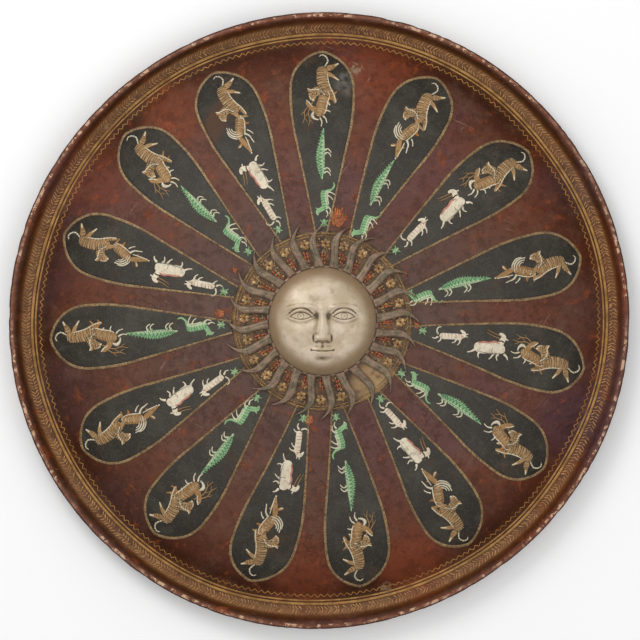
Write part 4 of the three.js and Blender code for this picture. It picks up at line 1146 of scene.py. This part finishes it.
def make_ornament():
    ground, gold, ochre, red, pale, mauve = (Strokes() for _ in range(6))
    chance = random.Random(77)
    ring_sheet(ground, ORNAMENT_INNER, ORNAMENT_OUTER, 0.30, 0.38, rows=12)
    for inner, outer in ((75.6, 76.4), (78.0, 79.0)):
        ring_sheet(gold, inner, outer, 0.40, 0.58)
    for k in range(180):
        x, y = polar(82.0 + chance.uniform(-0.15, 0.15), k * 2.0)
        gold.add_loft(stroke_rings([(x, y, 0.55), (x + 0.5, y + 0.2, 0.5)], sun_plan, MARK_SECTION,
                                   0.1, 0.35, steps=1))
    for k in range(RAY_COUNT):
        middle = FIRST_RAY_ANGLE + 360.0 / RAY_COUNT * (k + 0.72)
        turned = (middle + 180) % 360 - 180
        if WORN_PATCH[0] < turned < WORN_PATCH[1]:
            continue
        for radius, reach in ((51.6, 1.5), (54.9, 1.9), (58.2, 2.2), (61.2, 1.6)):
            for half in (-1, 1):
                x, y = polar(radius + chance.uniform(-0.4, 0.4), middle + half * 1.15)
                dx, dy = polar(reach * 0.5, middle + 90)
                size = chance.uniform(1.3, 1.75)
                paint = red if chance.random() < 0.8 else ochre
                paint.add_loft(stroke_rings([(x - dx, y - dy, size), (x + dx, y + dy, size)], sun_plan,
                                            FILL_SECTION, 0.5, 1.5, steps=2))
        cx, cy = polar(69.4 + chance.uniform(-1, 1), middle + chance.uniform(-1.2, 0.4))
        turn_by = chance.uniform(0, 60)
        for leaf in range(6):
            dx, dy = polar(3.9, turn_by + 60.0 * leaf)
            paint = (pale, ochre, ochre)[leaf % 3]
            paint.add_loft(stroke_rings([(cx + dx * 0.2, cy + dy * 0.2, 0.7),
                                         (cx + dx * 0.7, cy + dy * 0.7, 1.75),
                                         (cx + dx * 1.15, cy + dy * 1.15, 1.1)],
                                        sun_plan, FILL_SECTION, 0.45, 1.3, steps=2))
        red.add_loft(stroke_rings([(cx - 0.4, cy, 0.8), (cx + 0.4, cy, 0.8)], sun_plan,
                                  MARK_SECTION, 0.8, 1.7, steps=1))
        for _ in range(34):
            radius, lean = chance.uniform(52.0, 75.0), chance.uniform(-6.4, 6.4)
            x, y = polar(radius, middle + lean)
            dx, dy = polar(chance.uniform(0.5, 1.6), chance.uniform(0, 180))
            paint = chance.choice((ochre, pale, mauve, mauve, ochre, red))
            size = chance.uniform(0.5, 1.25)
            paint.add_loft(stroke_rings([(x - dx, y - dy, size * 0.6), (x + dx, y + dy, size)], sun_plan,
                                        MARK_SECTION, 0.42, 0.9, steps=2))
    for k in range(120):
        angle = k * 3.0
        turned = (angle + 180) % 360 - 180
        if WORN_PATCH[0] < turned < WORN_PATCH[1] or chance.random() < 0.15:
            continue
        x, y = polar(74.0, angle)
        ochre.add_loft(stroke_rings([(x, y, 0.6), (x + 0.3, y, 0.6)], sun_plan,
                                    MARK_SECTION, 0.4, 0.6, steps=1))
    ground.build("ornament_ground", ornament_ground_material(), "hide")
    gold.build("ornament_gold", gilt_material("ornament_gold", "B58F4E", "7E6136", wear=0.55), "hide")
    ochre.build("ornament_ochre", gilt_material("ornament_ochre", "B08A58", "8A6A42", wear=0.4), "hide")
    red.build("ornament_red", gilt_material("ornament_red", "B8643C", "8E4A2C", wear=0.35), "hide")
    pale.build("ornament_pale", gilt_material("ornament_pale", "CDAE7C", "A08050", wear=0.35), "hide")
    mauve.build("ornament_mauve", gilt_material("ornament_mauve", "8E7A68", "6E6650", wear=0.35), "hide")


def ornament_ground_material():
    """Dark brown paint round the sun, flaked on one side and worn to gold-brown on another."""
    look = Finish("ornament_ground", roughness=0.5, specular=0.25)
    tone = look.noise(9, detail=5.0, roughness=0.65)
    colour = look.mix(look.band(tone, 0.36, 0.64), "3E2E24", "6A523C")
    worn = look.near(47, -51, 26, stretch=(0.75, 1.15), turn=-48)
    worn = look.math("MULTIPLY", worn, look.band(look.noise(13, detail=4), 0.30, 0.48))
    colour = look.mix(worn, colour, look.mix(look.noise(6, detail=5), "8A6E4E", "B09066"))
    flaked = look.math("MULTIPLY", look.near(-68, 6, 24, stretch=(0.6, 1.3)),
                       look.band(look.noise(6, detail=5, roughness=0.7), 0.48, 0.56))
    colour = look.mix(flaked, colour, "8A6A48")
    lost = look.band(look.noise(3.0, detail=4.0, roughness=0.7), 0.60, 0.70)
    colour = look.mix(look.math("MULTIPLY", lost, 0.6), colour, "8E6B45")
    look.colour(colour)
    look.bump(look.noise(2.5, detail=4.0), 0.12)
    return look.done()


def make_tufts():
    """Small red and ochre sprigs painted in the gaps between the petals, just outside the border."""
    red, ochre = Strokes(), Strokes()
    chance = random.Random(9)
    for middle, size in ((79.4, 1.0), (-96.0, 0.55), (176.0, 0.5), (-3.0, 0.35), (29.0, 0.3), (149.0, 0.3)):
        for blade in range(9):
            lean = (blade - 4) * 1.15
            length = size * (19 - 1.5 * abs(blade - 4)) * chance.uniform(0.85, 1.1)
            start, end = polar(85.0, middle + lean * 0.35), polar(85.0 + length, middle + lean * size)
            mid = polar(85.0 + length * 0.55, middle + lean * 0.8 * size)
            paint = ochre if blade % 3 == 1 else red
            paint.add_loft(stroke_rings([(*start, 0.5), (*mid, 0.9 * size + 0.3),
                                         (*end, 0.7 * size)], on_front,
                                        MARK_SECTION, 0.12, 0.42, steps=4))
            for side in (-1, 1):
                tip = polar(85.0 + length * 0.75, middle + (lean + side * 1.1) * size)
                red.add_loft(stroke_rings([(*mid, 0.4 * size), (*tip, 0.5 * size)], on_front,
                                          MARK_SECTION, 0.12, 0.38, steps=3))
    red.build("sprigs_red", gilt_material("sprigs_red", "C0683E", "94482C", wear=0.3), "hide")
    ochre.build("sprigs_ochre", gilt_material("sprigs_ochre", "A87C3E", "7A5A30", wear=0.5), "hide")


# ---------------------------------------------------------------- the sun's rays
def make_rays(material):
    rays = Strokes()
    angle = np.arange(180) * 2.0
    profile = [(PLATE_INNER_RADIUS, GAP), (PLATE_INNER_RADIUS, GAP + PLATE_THICKNESS),
               (PLATE_OUTER_RADIUS - 0.6, GAP + PLATE_THICKNESS), (PLATE_OUTER_RADIUS, GAP + 0.9),
               (PLATE_OUTER_RADIUS, GAP)]
    rays.add_loft(np.stack([sun_place(r, angle, lift) for r, lift in profile], 1), joined=True)
    chance = random.Random(41)
    for index in range(RAY_COUNT):
        root = FIRST_RAY_ANGLE + 360.0 / RAY_COUNT * index + chance.uniform(-0.35, 0.35)
        t = np.linspace(0, 1, 34)
        radius = RAY_ROOT_RADIUS + (RAY_TIP_RADIUS - RAY_ROOT_RADIUS + chance.uniform(-0.8, 0.3)) * t
        bends = smooth_path(list(zip(RAY_SHARES, RAY_TURNS, RAY_HALF_WIDTHS)), 8)
        turn = np.interp(t, bends[:, 0], bends[:, 1]) * chance.uniform(0.85, 1.15)
        half = np.interp(t, bends[:, 0], bends[:, 2]) * chance.uniform(0.92, 1.05)
        taper = np.sqrt(1 - t ** 2.5)
        height = RAY_TIP_HEIGHT + (RAY_HEIGHT - RAY_TIP_HEIGHT) * taper
        rings = []
        for across in np.linspace(-1, 1, 15):
            up = math.sqrt(1 - abs(across) ** 2.4)
            groove = RAY_GROOVE * math.exp(-(across / 0.16) ** 2)
            middle = root + turn + np.degrees(across * half / radius)
            rings.append(sun_place(radius, middle, GAP + height * (up - groove * (up > 0))))
        rays.add_loft(np.stack(rings, 1))
    made = rays.build("rays", material, "ray_metal")
    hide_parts("ray_plate")
    return made


def ray_material():
    """Dark patinated copper alloy, mauve-brown with greenish places, and a painted highlight along the rays'
    backs.
    """
    look = Finish("ray_patina", roughness=0.55, metallic=0.3, specular=0.2)
    tone = look.noise(7, detail=5.0, roughness=0.65)
    colour = look.ramp(tone, [(0.30, "4C4234"), (0.45, "69604C"), (0.56, "85735F"), (0.72, "A08770")])
    green = look.band(look.noise(12, detail=4.0), 0.54, 0.66)
    colour = look.mix(look.math("MULTIPLY", green, 0.6), colour, "545A48")
    mauve = look.band(look.noise(9, detail=4.0, stretch=(1.3, 1.0, 1.0)), 0.52, 0.64)
    colour = look.mix(look.math("MULTIPLY", mauve, 0.45), colour, "8E6A5E")
    pits = look.band(look.noise(1.4, detail=3.0), 0.60, 0.72)
    colour = look.mix(look.math("MULTIPLY", pits, 0.6), colour, "33271F")
    # Painted highlight: lighter pink-brown on the rays' rounded backs.
    ridge_highlight = look.node("NewGeometry").outputs["Pointiness"]
    colour = look.mix(look.math("MULTIPLY", look.band(ridge_highlight, 0.505, 0.55), 0.35), colour, "A98878")
    look.colour(colour)
    look.roughness(look.math("ADD", look.math("MULTIPLY", tone, 0.3), 0.32))
    look.bump(look.noise(2.2, detail=4.0), 0.18)
    return look.done()


# ---------------------------------------------------------------- the sun's face
def hill(x, y, width, height=1.0):
    return np.exp(-(x / width) ** 2 - (y / height) ** 2)


def face_features(x, y):
    """The face's relief over its plain bulge, in millimetres, and how dark each hollow is.

    x and y are shares of the face's radius. The eyes are one eye's width apart, and the brow, the
    nose and the chin divide the height in equal thirds.
    """
    side = np.abs(x)
    across = (side - EYE_OFFSET) / EYE_HALF_WIDTH
    arch = np.clip(1 - across ** 2, 0, 1)
    beside_eye = smoothstep(1.18 - np.abs(across), 0.0, 0.2)

    brow_line = BROW_HEIGHT - 0.55 * (side - 0.36) ** 2
    brow_reach = smoothstep(side, 0.08, 0.2) * (1 - smoothstep(side, 0.60, 0.74))
    relief = 1.7 * hill(y - brow_line, 0, 0.12) * hill(side - 0.38, 0, 0.36)
    relief += 1.15 * hill(y - brow_line, 0, 0.030) * brow_reach
    relief -= 2.5 * hill(side - EYE_OFFSET, y - EYE_HEIGHT + 0.01, 0.27, 0.12)
    relief -= 1.2 * hill(side - 0.12, y - 0.11, 0.07, 0.10)

    upper = EYE_HEIGHT + 0.095 * arch ** 0.8
    lower = EYE_HEIGHT - 0.055 * arch
    relief += 2.3 * hill(side - EYE_OFFSET, y - EYE_HEIGHT, 0.17, 0.095)
    relief += 0.95 * hill(y - upper - 0.022, 0, 0.024) * beside_eye
    relief += 0.60 * hill(y - lower + 0.018, 0, 0.020) * beside_eye
    relief -= 0.65 * hill(y - upper + 0.008, 0, 0.013) * beside_eye
    relief -= 0.45 * hill(y - lower - 0.006, 0, 0.012) * beside_eye
    relief -= 0.50 * hill(y - upper - 0.070, 0, 0.018) * beside_eye
    from_iris = np.hypot(side - EYE_OFFSET, y - EYE_HEIGHT - 0.012)
    inside_lids = smoothstep(upper - y, 0.0, 0.015) * smoothstep(y - lower, 0.0, 0.015)
    relief -= 0.32 * hill(from_iris - 0.058, 0, 0.009) * inside_lids
    relief -= 0.40 * hill(from_iris, 0, 0.020) * inside_lids

    down = smoothstep(0.30 - y, 0.0, 0.60)
    nose_end = smoothstep(y - NOSE_TIP + 0.045, 0.0, 0.075)
    ridge = hill(x, 0, 0.066 + 0.050 * down ** 2)
    relief += (1.5 + 4.2 * down) * nose_end * smoothstep(0.42 - y, 0.0, 0.22) * ridge
    relief += 1.7 * hill(side - 0.112, y - NOSE_TIP - 0.030, 0.042, 0.045)
    relief -= 0.8 * hill(side - 0.165, y - NOSE_TIP - 0.03, 0.022, 0.055)
    relief -= 1.1 * hill(side - 0.058, y - NOSE_TIP + 0.028, 0.030, 0.018)
    relief -= 0.5 * hill(x, y - NOSE_TIP + 0.11, 0.030, 0.050)

    smile = MOUTH_HEIGHT + 0.30 * side ** 2
    mouth_reach = 1 - smoothstep(side, 0.13, 0.21)
    bow = 0.045 - 0.020 * hill(x, 0, 0.035) - 0.10 * side
    relief += 1.3 * hill(x, y - MOUTH_HEIGHT, 0.26, 0.16)
    relief += 1.25 * hill(y - smile - 0.6 * np.maximum(bow, 0.004), 0, 0.032) * mouth_reach
    relief += 1.9 * hill(y - smile + 0.052, 0, 0.044) * hill(x, 0, 0.15)
    relief -= 1.15 * hill(y - smile, 0, 0.014) * (1 - smoothstep(side, 0.14, 0.22))
    relief -= 0.5 * hill(side - 0.205, y - smile, 0.026, 0.026)
    relief -= 0.5 * hill(x, y - MOUTH_HEIGHT + 0.150, 0.13, 0.050)

    relief += 1.9 * hill(x, y - CHIN_HEIGHT, 0.17, 0.10)
    relief += 1.5 * hill(side - 0.46, y + 0.22, 0.22, 0.20)
    relief += 0.8 * hill(x, y - 0.55, 0.38, 0.20)
    return relief


def make_face(material, around=320, rows=150):
    base = 2 * GAP + PLATE_THICKNESS

    def shell(share, angle, radius, rise):
        reach = share * radius / FACE_RADIUS
        x, y = polar(reach, angle)
        fade = 1 - share ** FACE_FADE_POWER
        relief = face_features(x, y) * fade
        bulge = rise * np.sqrt(np.maximum(1 - share ** FACE_BULGE_POWER, 0))
        return sun_place(share * radius, angle, base + bulge + relief), relief

    angle = np.arange(around) * 360.0 / around
    t = np.linspace(0.006, 1.0, rows)
    outer_shares = np.sin(math.pi / 2 * t ** 1.05)
    inner_shares = np.sin(math.pi / 2 * np.linspace(1.0, 0.02, 12))
    share, angles = np.meshgrid(outer_shares, angle, indexing="ij")
    outside, relief = shell(share, angles, FACE_RADIUS, FACE_RISE)
    share_in, angles_in = np.meshgrid(inner_shares, angle, indexing="ij")
    inside, _ = shell(share_in, angles_in, FACE_RADIUS - FACE_SHEET, FACE_RISE - FACE_SHEET)
    grid = np.concatenate([outside, inside])
    points = np.concatenate([grid.reshape(-1, 3), [outside[0].mean(0), inside[-1].mean(0)]])
    total = len(grid)
    faces = grid_faces(total, around).tolist()
    for here in range(around):
        following = (here + 1) % around
        faces.append([total * around, following, here])
        faces.append([total * around + 1, (total - 1) * around + here, (total - 1) * around + following])
    made = outward(make_object("face", points, faces, material))

    x, y = polar(share, angles)
    around_it, wider = (
        sum(face_features(x + dx * step, y + dy * step) for dx, dy in ((1, 0), (-1, 0), (0, 1), (0, -1)))
        for step in (NEAR_STEP, WIDE_STEP))
    here = face_features(x, y)
    hollow = (around_it / 4 - here) / 0.14 + (wider / 4 - here) / 0.9
    hollow = np.clip(0.5 + 0.5 * hollow, 0, 1)
    edge = smoothstep(share, 0.62, 1.0)
    blank = np.zeros(inside.shape[:2])
    add_attribute(made, "hollow", np.concatenate([hollow.ravel(), blank.ravel(), [0.5, 0.0]]))
    add_attribute(made, "edge", np.concatenate([edge.ravel(), blank.ravel() + 1, [0.0, 1.0]]))
    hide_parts("sun_face")
    return made


def silver_material():
    """Worn silver-gilt: pale cream on the high places, tarnished brown in the hollows, painted shade at the
    edge.
    """
    look = Finish("silver_gilt", roughness=0.5, metallic=0.35, specular=0.25)
    tone = look.noise(14, detail=4.0)
    colour = look.mix(look.band(tone, 0.35, 0.65), "D2C2AC", "BBA98E")
    # Painted shade: darker brown towards the face's sloping edge.
    face_edge_shade = look.math("MULTIPLY", look.band(look.attribute("edge"), 0.0, 0.9), 0.85)
    colour = look.mix(face_edge_shade, colour, "7E6444")
    hollow = look.attribute("hollow")
    uneven = look.math("ADD", hollow, look.math("MULTIPLY", look.noise(3.0, detail=5.0), 0.25))
    colour = look.mix(look.math("MULTIPLY", look.band(uneven, 0.66, 0.86), 0.55), colour, "7A6448")
    colour = look.mix(look.math("MULTIPLY", look.band(uneven, 0.86, 1.10), 0.75), colour, "33281D")
    specks = look.band(look.noise(1.3, detail=3.0, roughness=0.7), 0.63, 0.74)
    colour = look.mix(look.math("MULTIPLY", specks, 0.45), colour, "5C4B38")
    stain = look.band(look.noise(8, detail=6.0, roughness=0.7), 0.52, 0.68)
    colour = look.mix(look.math("MULTIPLY", stain, 0.38), colour, "8B7658")
    look.colour(colour)
    look.roughness(look.math("ADD", look.math("MULTIPLY", look.noise(5, detail=5.0), 0.30), 0.42))
    look.bump(look.noise(6.0, detail=3.0), 0.22)
    look.bump(look.noise(0.8, detail=3.0), 0.035)
    return look.done()


# ---------------------------------------------------------------- the back's fittings
def back_height(x, y):
    return DOME_CENTRE_HEIGHT + np.sqrt(HOLLOW_RADIUS ** 2 - x ** 2 - y ** 2)


def turned_about_y(points, angle):
    c, s = cos_d(angle), sin_d(angle)
    return points @ np.array([[c, 0, s], [0, 1, 0], [-s, 0, c]]).T


def turned_about_x(points, angle):
    c, s = cos_d(angle), sin_d(angle)
    return points @ np.array([[1, 0, 0], [0, c, -s], [0, s, c]]).T


def swung(points, swing):
    """From the handle's own plane, about the dome's centre, to its place on the hide."""
    return turned_about_x(points, -swing) + [0, 0, DOME_CENTRE_HEIGHT]


def wire_rings(centres, out, side, radius, sides=14):
    angle = np.arange(sides) * 360.0 / sides
    return (centres[:, None] + radius * cos_d(angle)[None, :, None] * out[:, None]
            + radius * sin_d(angle)[None, :, None] * side[None, None])


def make_ring(name, side, swing, material):
    angle = np.linspace(0, 360, 64, endpoint=False)
    c, s = cos_d(angle), sin_d(angle)
    power = 2 / RING_SQUARENESS
    y = RING_HALF_WIDTH * np.sign(c) * np.abs(c) ** power
    z = RING_HALF_HEIGHT * np.sign(s) * np.abs(s) ** power
    centres = np.stack([np.zeros_like(y), y, z - RING_HALF_HEIGHT], -1)
    out = np.stack([np.zeros_like(y), c, s], -1)
    ring = Strokes()
    points = wire_rings(centres, out, np.array([1.0, 0, 0]), RING_WIRE)
    points = turned_about_y(points, side * RING_LEAN)
    points = points + [side * EYE_RADIUS * sin_d(STAPLE_ANGLE), 0, EYE_RADIUS * cos_d(STAPLE_ANGLE)]
    ring.add_loft(swung(points, swing), joined=True)
    made = ring.build(name.replace("ring_", "iron_ring_"), material, "iron")
    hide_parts(name)


def make_staple(name, side, swing, material):
    staple = Strokes()
    corner = np.linspace(0, 360, 48, endpoint=False)
    c, s = cos_d(corner), sin_d(corner)
    square_x = STAPLE_PLATE_HALF_WIDTH * np.sign(c) * np.abs(c) ** 0.25
    square_y = STAPLE_PLATE_HALF_WIDTH * np.sign(s) * np.abs(s) ** 0.25
    rings = [np.stack([square_x * share, square_y * share, np.full_like(c, z)], -1) for share, z in
             ((0.97, 0.0), (1.0, -0.35), (1.0, -1.1), (0.95, -STAPLE_PLATE_THICKNESS))]
    staple.add_loft(np.stack(rings))
    angle = np.linspace(0, 180, 30)
    out = np.stack([cos_d(angle), np.zeros_like(angle), -sin_d(angle)], -1)
    shank = STAPLE_HEIGHT - STAPLE_WIRE - STAPLE_PLATE_THICKNESS / 2
    drop = STAPLE_PLATE_THICKNESS / 2 + shank * sin_d(angle)
    centres = np.stack([STAPLE_HALF_SPAN * out[:, 0], np.zeros_like(angle), -drop], -1)
    staple.add_loft(wire_rings(centres, out, np.array([0, 1.0, 0]), STAPLE_WIRE))
    for x, y in ((-NAIL_OFFSET, NAIL_OFFSET), (NAIL_OFFSET, NAIL_OFFSET),
                 (-NAIL_OFFSET, -NAIL_OFFSET), (NAIL_OFFSET, -NAIL_OFFSET)):
        nail = [np.stack([x + r * cos_d(corner[::3]), y + r * sin_d(corner[::3]),
                          np.full(16, -STAPLE_PLATE_THICKNESS - drop_by)], -1)
                for r, drop_by in ((1.5, -0.2), (1.4, 0.3), (1.0, 0.7), (0.3, 0.9))]
        staple.add_loft(np.stack(nail))
    for index, points in enumerate(staple.points):
        lifted = points + [0, 0, HOLLOW_RADIUS - STAPLE_GAP]
        staple.points[index] = swung(turned_about_y(lifted, side * STAPLE_ANGLE), swing)
    made = staple.build(name.replace("staple_", "iron_staple_"), material, "iron")
    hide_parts(name)


def make_strap(name, swing, leather, thread):
    """A slack padded leather grip, its ends sewn round the rings."""
    reach = 2 * RING_HALF_HEIGHT
    span = EYE_RADIUS * sin_d(STAPLE_ANGLE) - reach * sin_d(RING_LEAN)
    end_height = EYE_RADIUS * cos_d(STAPLE_ANGLE) + DOME_CENTRE_HEIGHT - reach * cos_d(RING_LEAN)
    sag = end_height - STRAP_LOW_HEIGHT

    def body(t, across, up):
        x = t * (span - LOOP_INNER_RADIUS)
        slope = 2 * sag * x / span ** 2
        size = np.hypot(slope, 1)
        fullness = np.sqrt(np.maximum(1 - t ** 4, 0))
        half_width = STRAP_END_HALF_WIDTH + (STRAP_HALF_WIDTH - STRAP_END_HALF_WIDTH) * fullness
        half_thick = STRAP_END_HALF_THICKNESS + (STRAP_HALF_THICKNESS - STRAP_END_HALF_THICKNESS) * fullness
        return np.stack([x - up * half_thick * slope / size, across * half_width,
                         STRAP_LOW_HEIGHT + sag * (x / span) ** 2 + up * half_thick / size], -1)

    strap = Strokes()
    angle = np.arange(32) * 360.0 / 32
    across = np.sign(cos_d(angle)) * np.abs(cos_d(angle)) ** 0.7
    up = np.sign(sin_d(angle)) * np.abs(sin_d(angle)) ** 0.8
    t, section = np.meshgrid(np.linspace(-1, 1, 60), np.arange(32), indexing="ij")
    strap.add_loft(body(t, across[section], up[section]))
    for side in (-1, 1):
        turn = np.arange(48) * 360.0 / 48
        profile = [(LOOP_INNER_RADIUS, -0.94), (LOOP_INNER_RADIUS, 0.94), (LOOP_INNER_RADIUS + 0.4, 1.0),
                   (LOOP_OUTER_RADIUS - 0.5, 1.0), (LOOP_OUTER_RADIUS, 0.9), (LOOP_OUTER_RADIUS, -0.9),
                   (LOOP_OUTER_RADIUS - 0.5, -1.0), (LOOP_INNER_RADIUS + 0.4, -1.0)]
        rings = [np.stack([side * span + r * cos_d(turn), np.full(48, y * STRAP_END_HALF_WIDTH),
                           end_height + r * sin_d(turn)], -1) for r, y in profile]
        strap.add_loft(np.stack(rings, 1), joined=True)
    stitches = Strokes()
    for edge in (-0.72, 0.72):
        for k in range(-15, 16):
            t = np.array([k / 17.5 - 0.017, k / 17.5, k / 17.5 + 0.017])
            path = body(t, edge, np.full(3, -0.86))
            along = np.gradient(path, axis=0)
            along /= np.linalg.norm(along, axis=1)[:, None]
            out = np.cross(along, [0, 1.0, 0])
            stitches.add_loft(wire_rings(path, out, np.array([0, 1.0, 0]), 0.42, sides=6))
    frame_height = [0, 0, -DOME_CENTRE_HEIGHT]
    for gathered in (strap, stitches):
        gathered.points = [swung(points + frame_height, swing) for points in gathered.points]
    made = strap.build(name.replace("handle_", "grip_"), leather, "strap_leather")
    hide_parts(name)
    stitches.build(name.replace("handle_", "grip_stitches_"), thread, "strap_leather")


def make_pad(material, thread):
    """A square cotton pad for the knuckles, quilted in diamonds and piped along its edge."""
    steps = 73
    u, v = np.meshgrid(np.linspace(-1, 1, steps), np.linspace(-1, 1, steps), indexing="ij")

    def outline(u, v):
        return u * PAD_HALF_WIDTH * (1 - 0.06 * v * v), v * PAD_HALF_WIDTH * (1 - 0.06 * u * u)
    x, y = outline(u, v)
    crown = np.sqrt((1 - u ** 4) * (1 - v ** 4))
    quilting = np.abs(np.sin(math.pi * 1.5 * (u + v))) * np.abs(np.sin(math.pi * 1.5 * (u - v)))
    puff = 0.62 + 0.38 * quilting ** 0.45
    thickness = PAD_EDGE_THICKNESS + (PAD_THICKNESS - PAD_EDGE_THICKNESS) * crown * puff
    rounded = np.minimum(1.0, (1 - np.maximum(np.abs(u), np.abs(v))) / 0.05)
    thickness = thickness * (0.45 + 0.55 * np.sqrt(np.maximum(rounded, 0)))
    ceiling = back_height(x, y) - PAD_GAP
    top = np.stack([x, y, ceiling], -1)
    bottom = np.stack([x, y, ceiling - thickness], -1)
    pad = Strokes()
    pad.add_sheet(top, bottom)
    made = pad.build("pad", material, "pad_cloth")
    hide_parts("knuckle_pad")
    piping = Strokes()
    t = np.linspace(-1, 1, 60, endpoint=False)
    one = np.ones_like(t)
    round_u = np.concatenate([t, one, -t, -one]) * 0.985
    round_v = np.concatenate([-one, t, one, -t]) * 0.985
    px, py = outline(round_u, round_v)
    path = np.stack([px, py, back_height(px, py) - PAD_GAP - 2.2], -1)
    out = np.stack([px, py, np.zeros_like(px)], -1)
    out /= np.linalg.norm(out, axis=1)[:, None]
    piping.add_loft(wire_rings(path, out, np.array([0, 0, 1.0]), 1.5, sides=10), joined=True)
    piping.build("pad_piping", thread, "pad_cloth")


def cloth_material(name, main, faded, weave=0.55):
    look = Finish(name, roughness=0.9, specular=0.15)
    colour = look.mix(look.band(look.noise(16, detail=5.0), 0.38, 0.62), main, faded)
    warp = look.node("TexWave", {"bands_direction": "X"}, Vector=look.place, Scale=1000 / weave / 6.28)
    weft = look.node("TexWave", {"bands_direction": "Y"}, Vector=look.place, Scale=1000 / weave / 6.28)
    threads = look.math("MULTIPLY", warp.outputs["Fac"], weft.outputs["Fac"])
    colour = look.mix(look.math("MULTIPLY", threads, 0.25), colour, "2A0F0B")
    stain = look.band(look.noise(9, detail=5.0, roughness=0.7), 0.56, 0.68)
    colour = look.mix(look.math("MULTIPLY", stain, 0.35), colour, "3A241B")
    look.colour(colour)
    look.bump(threads, 0.10)
    look.bump(look.noise(3.5, detail=4.0), 0.20)
    return look.done()


def leather_material():
    look = Finish("grip_leather", roughness=0.6, specular=0.3)
    tone = look.noise(12, detail=5.0, roughness=0.6)
    colour = look.ramp(tone, [(0.3, "3A2016"), (0.5, "573421"), (0.7, "70482F")])
    creases = look.band(look.cells(3.2, warp=0.6), 0.07, 0.02)
    colour = look.mix(look.math("MULTIPLY", creases, 0.5), colour, "26140D")
    look.colour(colour)
    look.bump(look.cells(1.1, feature="F1"), 0.10)
    look.bump(look.band(look.cells(3.2, warp=0.6), 0.0, 0.06), 0.10)
    return look.done()


def iron_material():
    look = Finish("black_iron", roughness=0.55, metallic=0.8, specular=0.4)
    tone = look.noise(3.5, detail=5.0, roughness=0.65)
    colour = look.ramp(tone, [(0.35, "2E2A27"), (0.52, "46413C"), (0.68, "5C4636")])
    rust = look.band(look.noise(2.0, detail=5.0, roughness=0.7), 0.58, 0.68)
    colour = look.mix(look.math("MULTIPLY", rust, 0.5), colour, "6A3A22")
    look.colour(colour)
    look.roughness(look.math("ADD", look.math("MULTIPLY", tone, 0.4), 0.35))
    look.bump(look.noise(1.0, detail=4.0), 0.10)
    return look.done()


def make_back():
    iron, leather = iron_material(), leather_material()
    thread = cloth_material("waxed_thread", "8A6E48", "6A5236", weave=0.3)
    make_pad(cloth_material("pad_cloth", "7A2A20", "5C2019"),
             cloth_material("piping_cloth", "4E1A14", "3A1510"))
    for place, swing in (("upper", STAPLE_ANGLE), ("lower", -STAPLE_ANGLE)):
        make_strap(f"handle_{place}", swing, leather, thread)
        for word, side in (("left", -1), ("right", 1)):
            make_ring(f"ring_{place}_{word}", side, swing, iron)
            make_staple(f"staple_{place}_{word}", side, swing, iron)


# ---------------------------------------------------------------- floor, light and camera
def make_floor():
    mesh = bpy.data.meshes.new("floor")
    corners = [(-1, -1), (1, -1), (1, 1), (-1, 1)]
    mesh.from_pydata([(x * FLOOR_REACH, y * FLOOR_REACH, 0) for x, y in corners], [], [(0, 1, 2, 3)])
    floor = bpy.data.objects.new("floor", mesh)
    bpy.context.scene.collection.objects.link(floor)
    material = bpy.data.materials.new("floor")
    material.use_nodes = True
    shader = material.node_tree.nodes["Principled BSDF"]
    shader.inputs["Base Color"].default_value = (FLOOR_GREY, FLOOR_GREY, FLOOR_GREY, 1)
    shader.inputs["Roughness"].default_value = FLOOR_ROUGHNESS
    shader.inputs["Specular IOR Level"].default_value = FLOOR_SPECULAR
    mesh.materials.append(material)


def make_light():
    world = bpy.data.worlds.new("studio")
    bpy.context.scene.world = world
    world.use_nodes = True
    background = world.node_tree.nodes["Background"]
    background.inputs["Color"].default_value = (1.0, 1.0, 1.0, 1)
    background.inputs["Strength"].default_value = SKY_STRENGTH
    for name, (place, size, power) in LAMPS.items():
        light = bpy.data.lights.new(name, "AREA")
        light.size = size
        light.energy = power
        lamp = bpy.data.objects.new(name, light)
        lamp.location = place
        lamp.rotation_euler = (-Vector(place)).to_track_quat("-Z", "Y").to_euler()
        bpy.context.scene.collection.objects.link(lamp)
    bpy.context.scene.view_settings.view_transform = "Standard"
    bpy.context.scene.view_settings.look = "None"


def make_camera():
    camera = bpy.data.cameras.new("camera")
    camera.sensor_width = 36.0
    camera.lens = camera.sensor_width * (CAMERA_DISTANCE - RIM_PLANE_HEIGHT) / FRAME_WIDTH
    camera.clip_end = 100.0
    holder = bpy.data.objects.new("camera", camera)
    holder.location = (*CAMERA_OFFSET, CAMERA_DISTANCE)
    bpy.context.scene.collection.objects.link(holder)
    bpy.context.scene.camera = holder


# ---------------------------------------------------------------- the scene
make_camera()
make_light()
make_floor()
make_hide(hide_material())
make_petals(petal_material())
gold_line = gilt_material("petal_gold", "9A7E56", "7A6040", wear=0.45)
make_petal_outlines(gold_line)
make_rim_lines(gilt_material("rim_gold", "B08448", "86602F", cracks=False, wear=0.35),
               gilt_material("zigzag_gold", "AE7C40", "84592C", cracks=False, wear=0.3))
make_rim_hatching(gilt_material("hatching_gold", "C4945F", "966C46", cracks=False, wear=0.35),
                  gilt_material("hatching_dark", "5A3820", "6E4A2A", cracks=False, wear=0.3))
make_ornament()
make_tufts()
make_rays(ray_material())
make_face(silver_material())
paint_animals()
make_back()
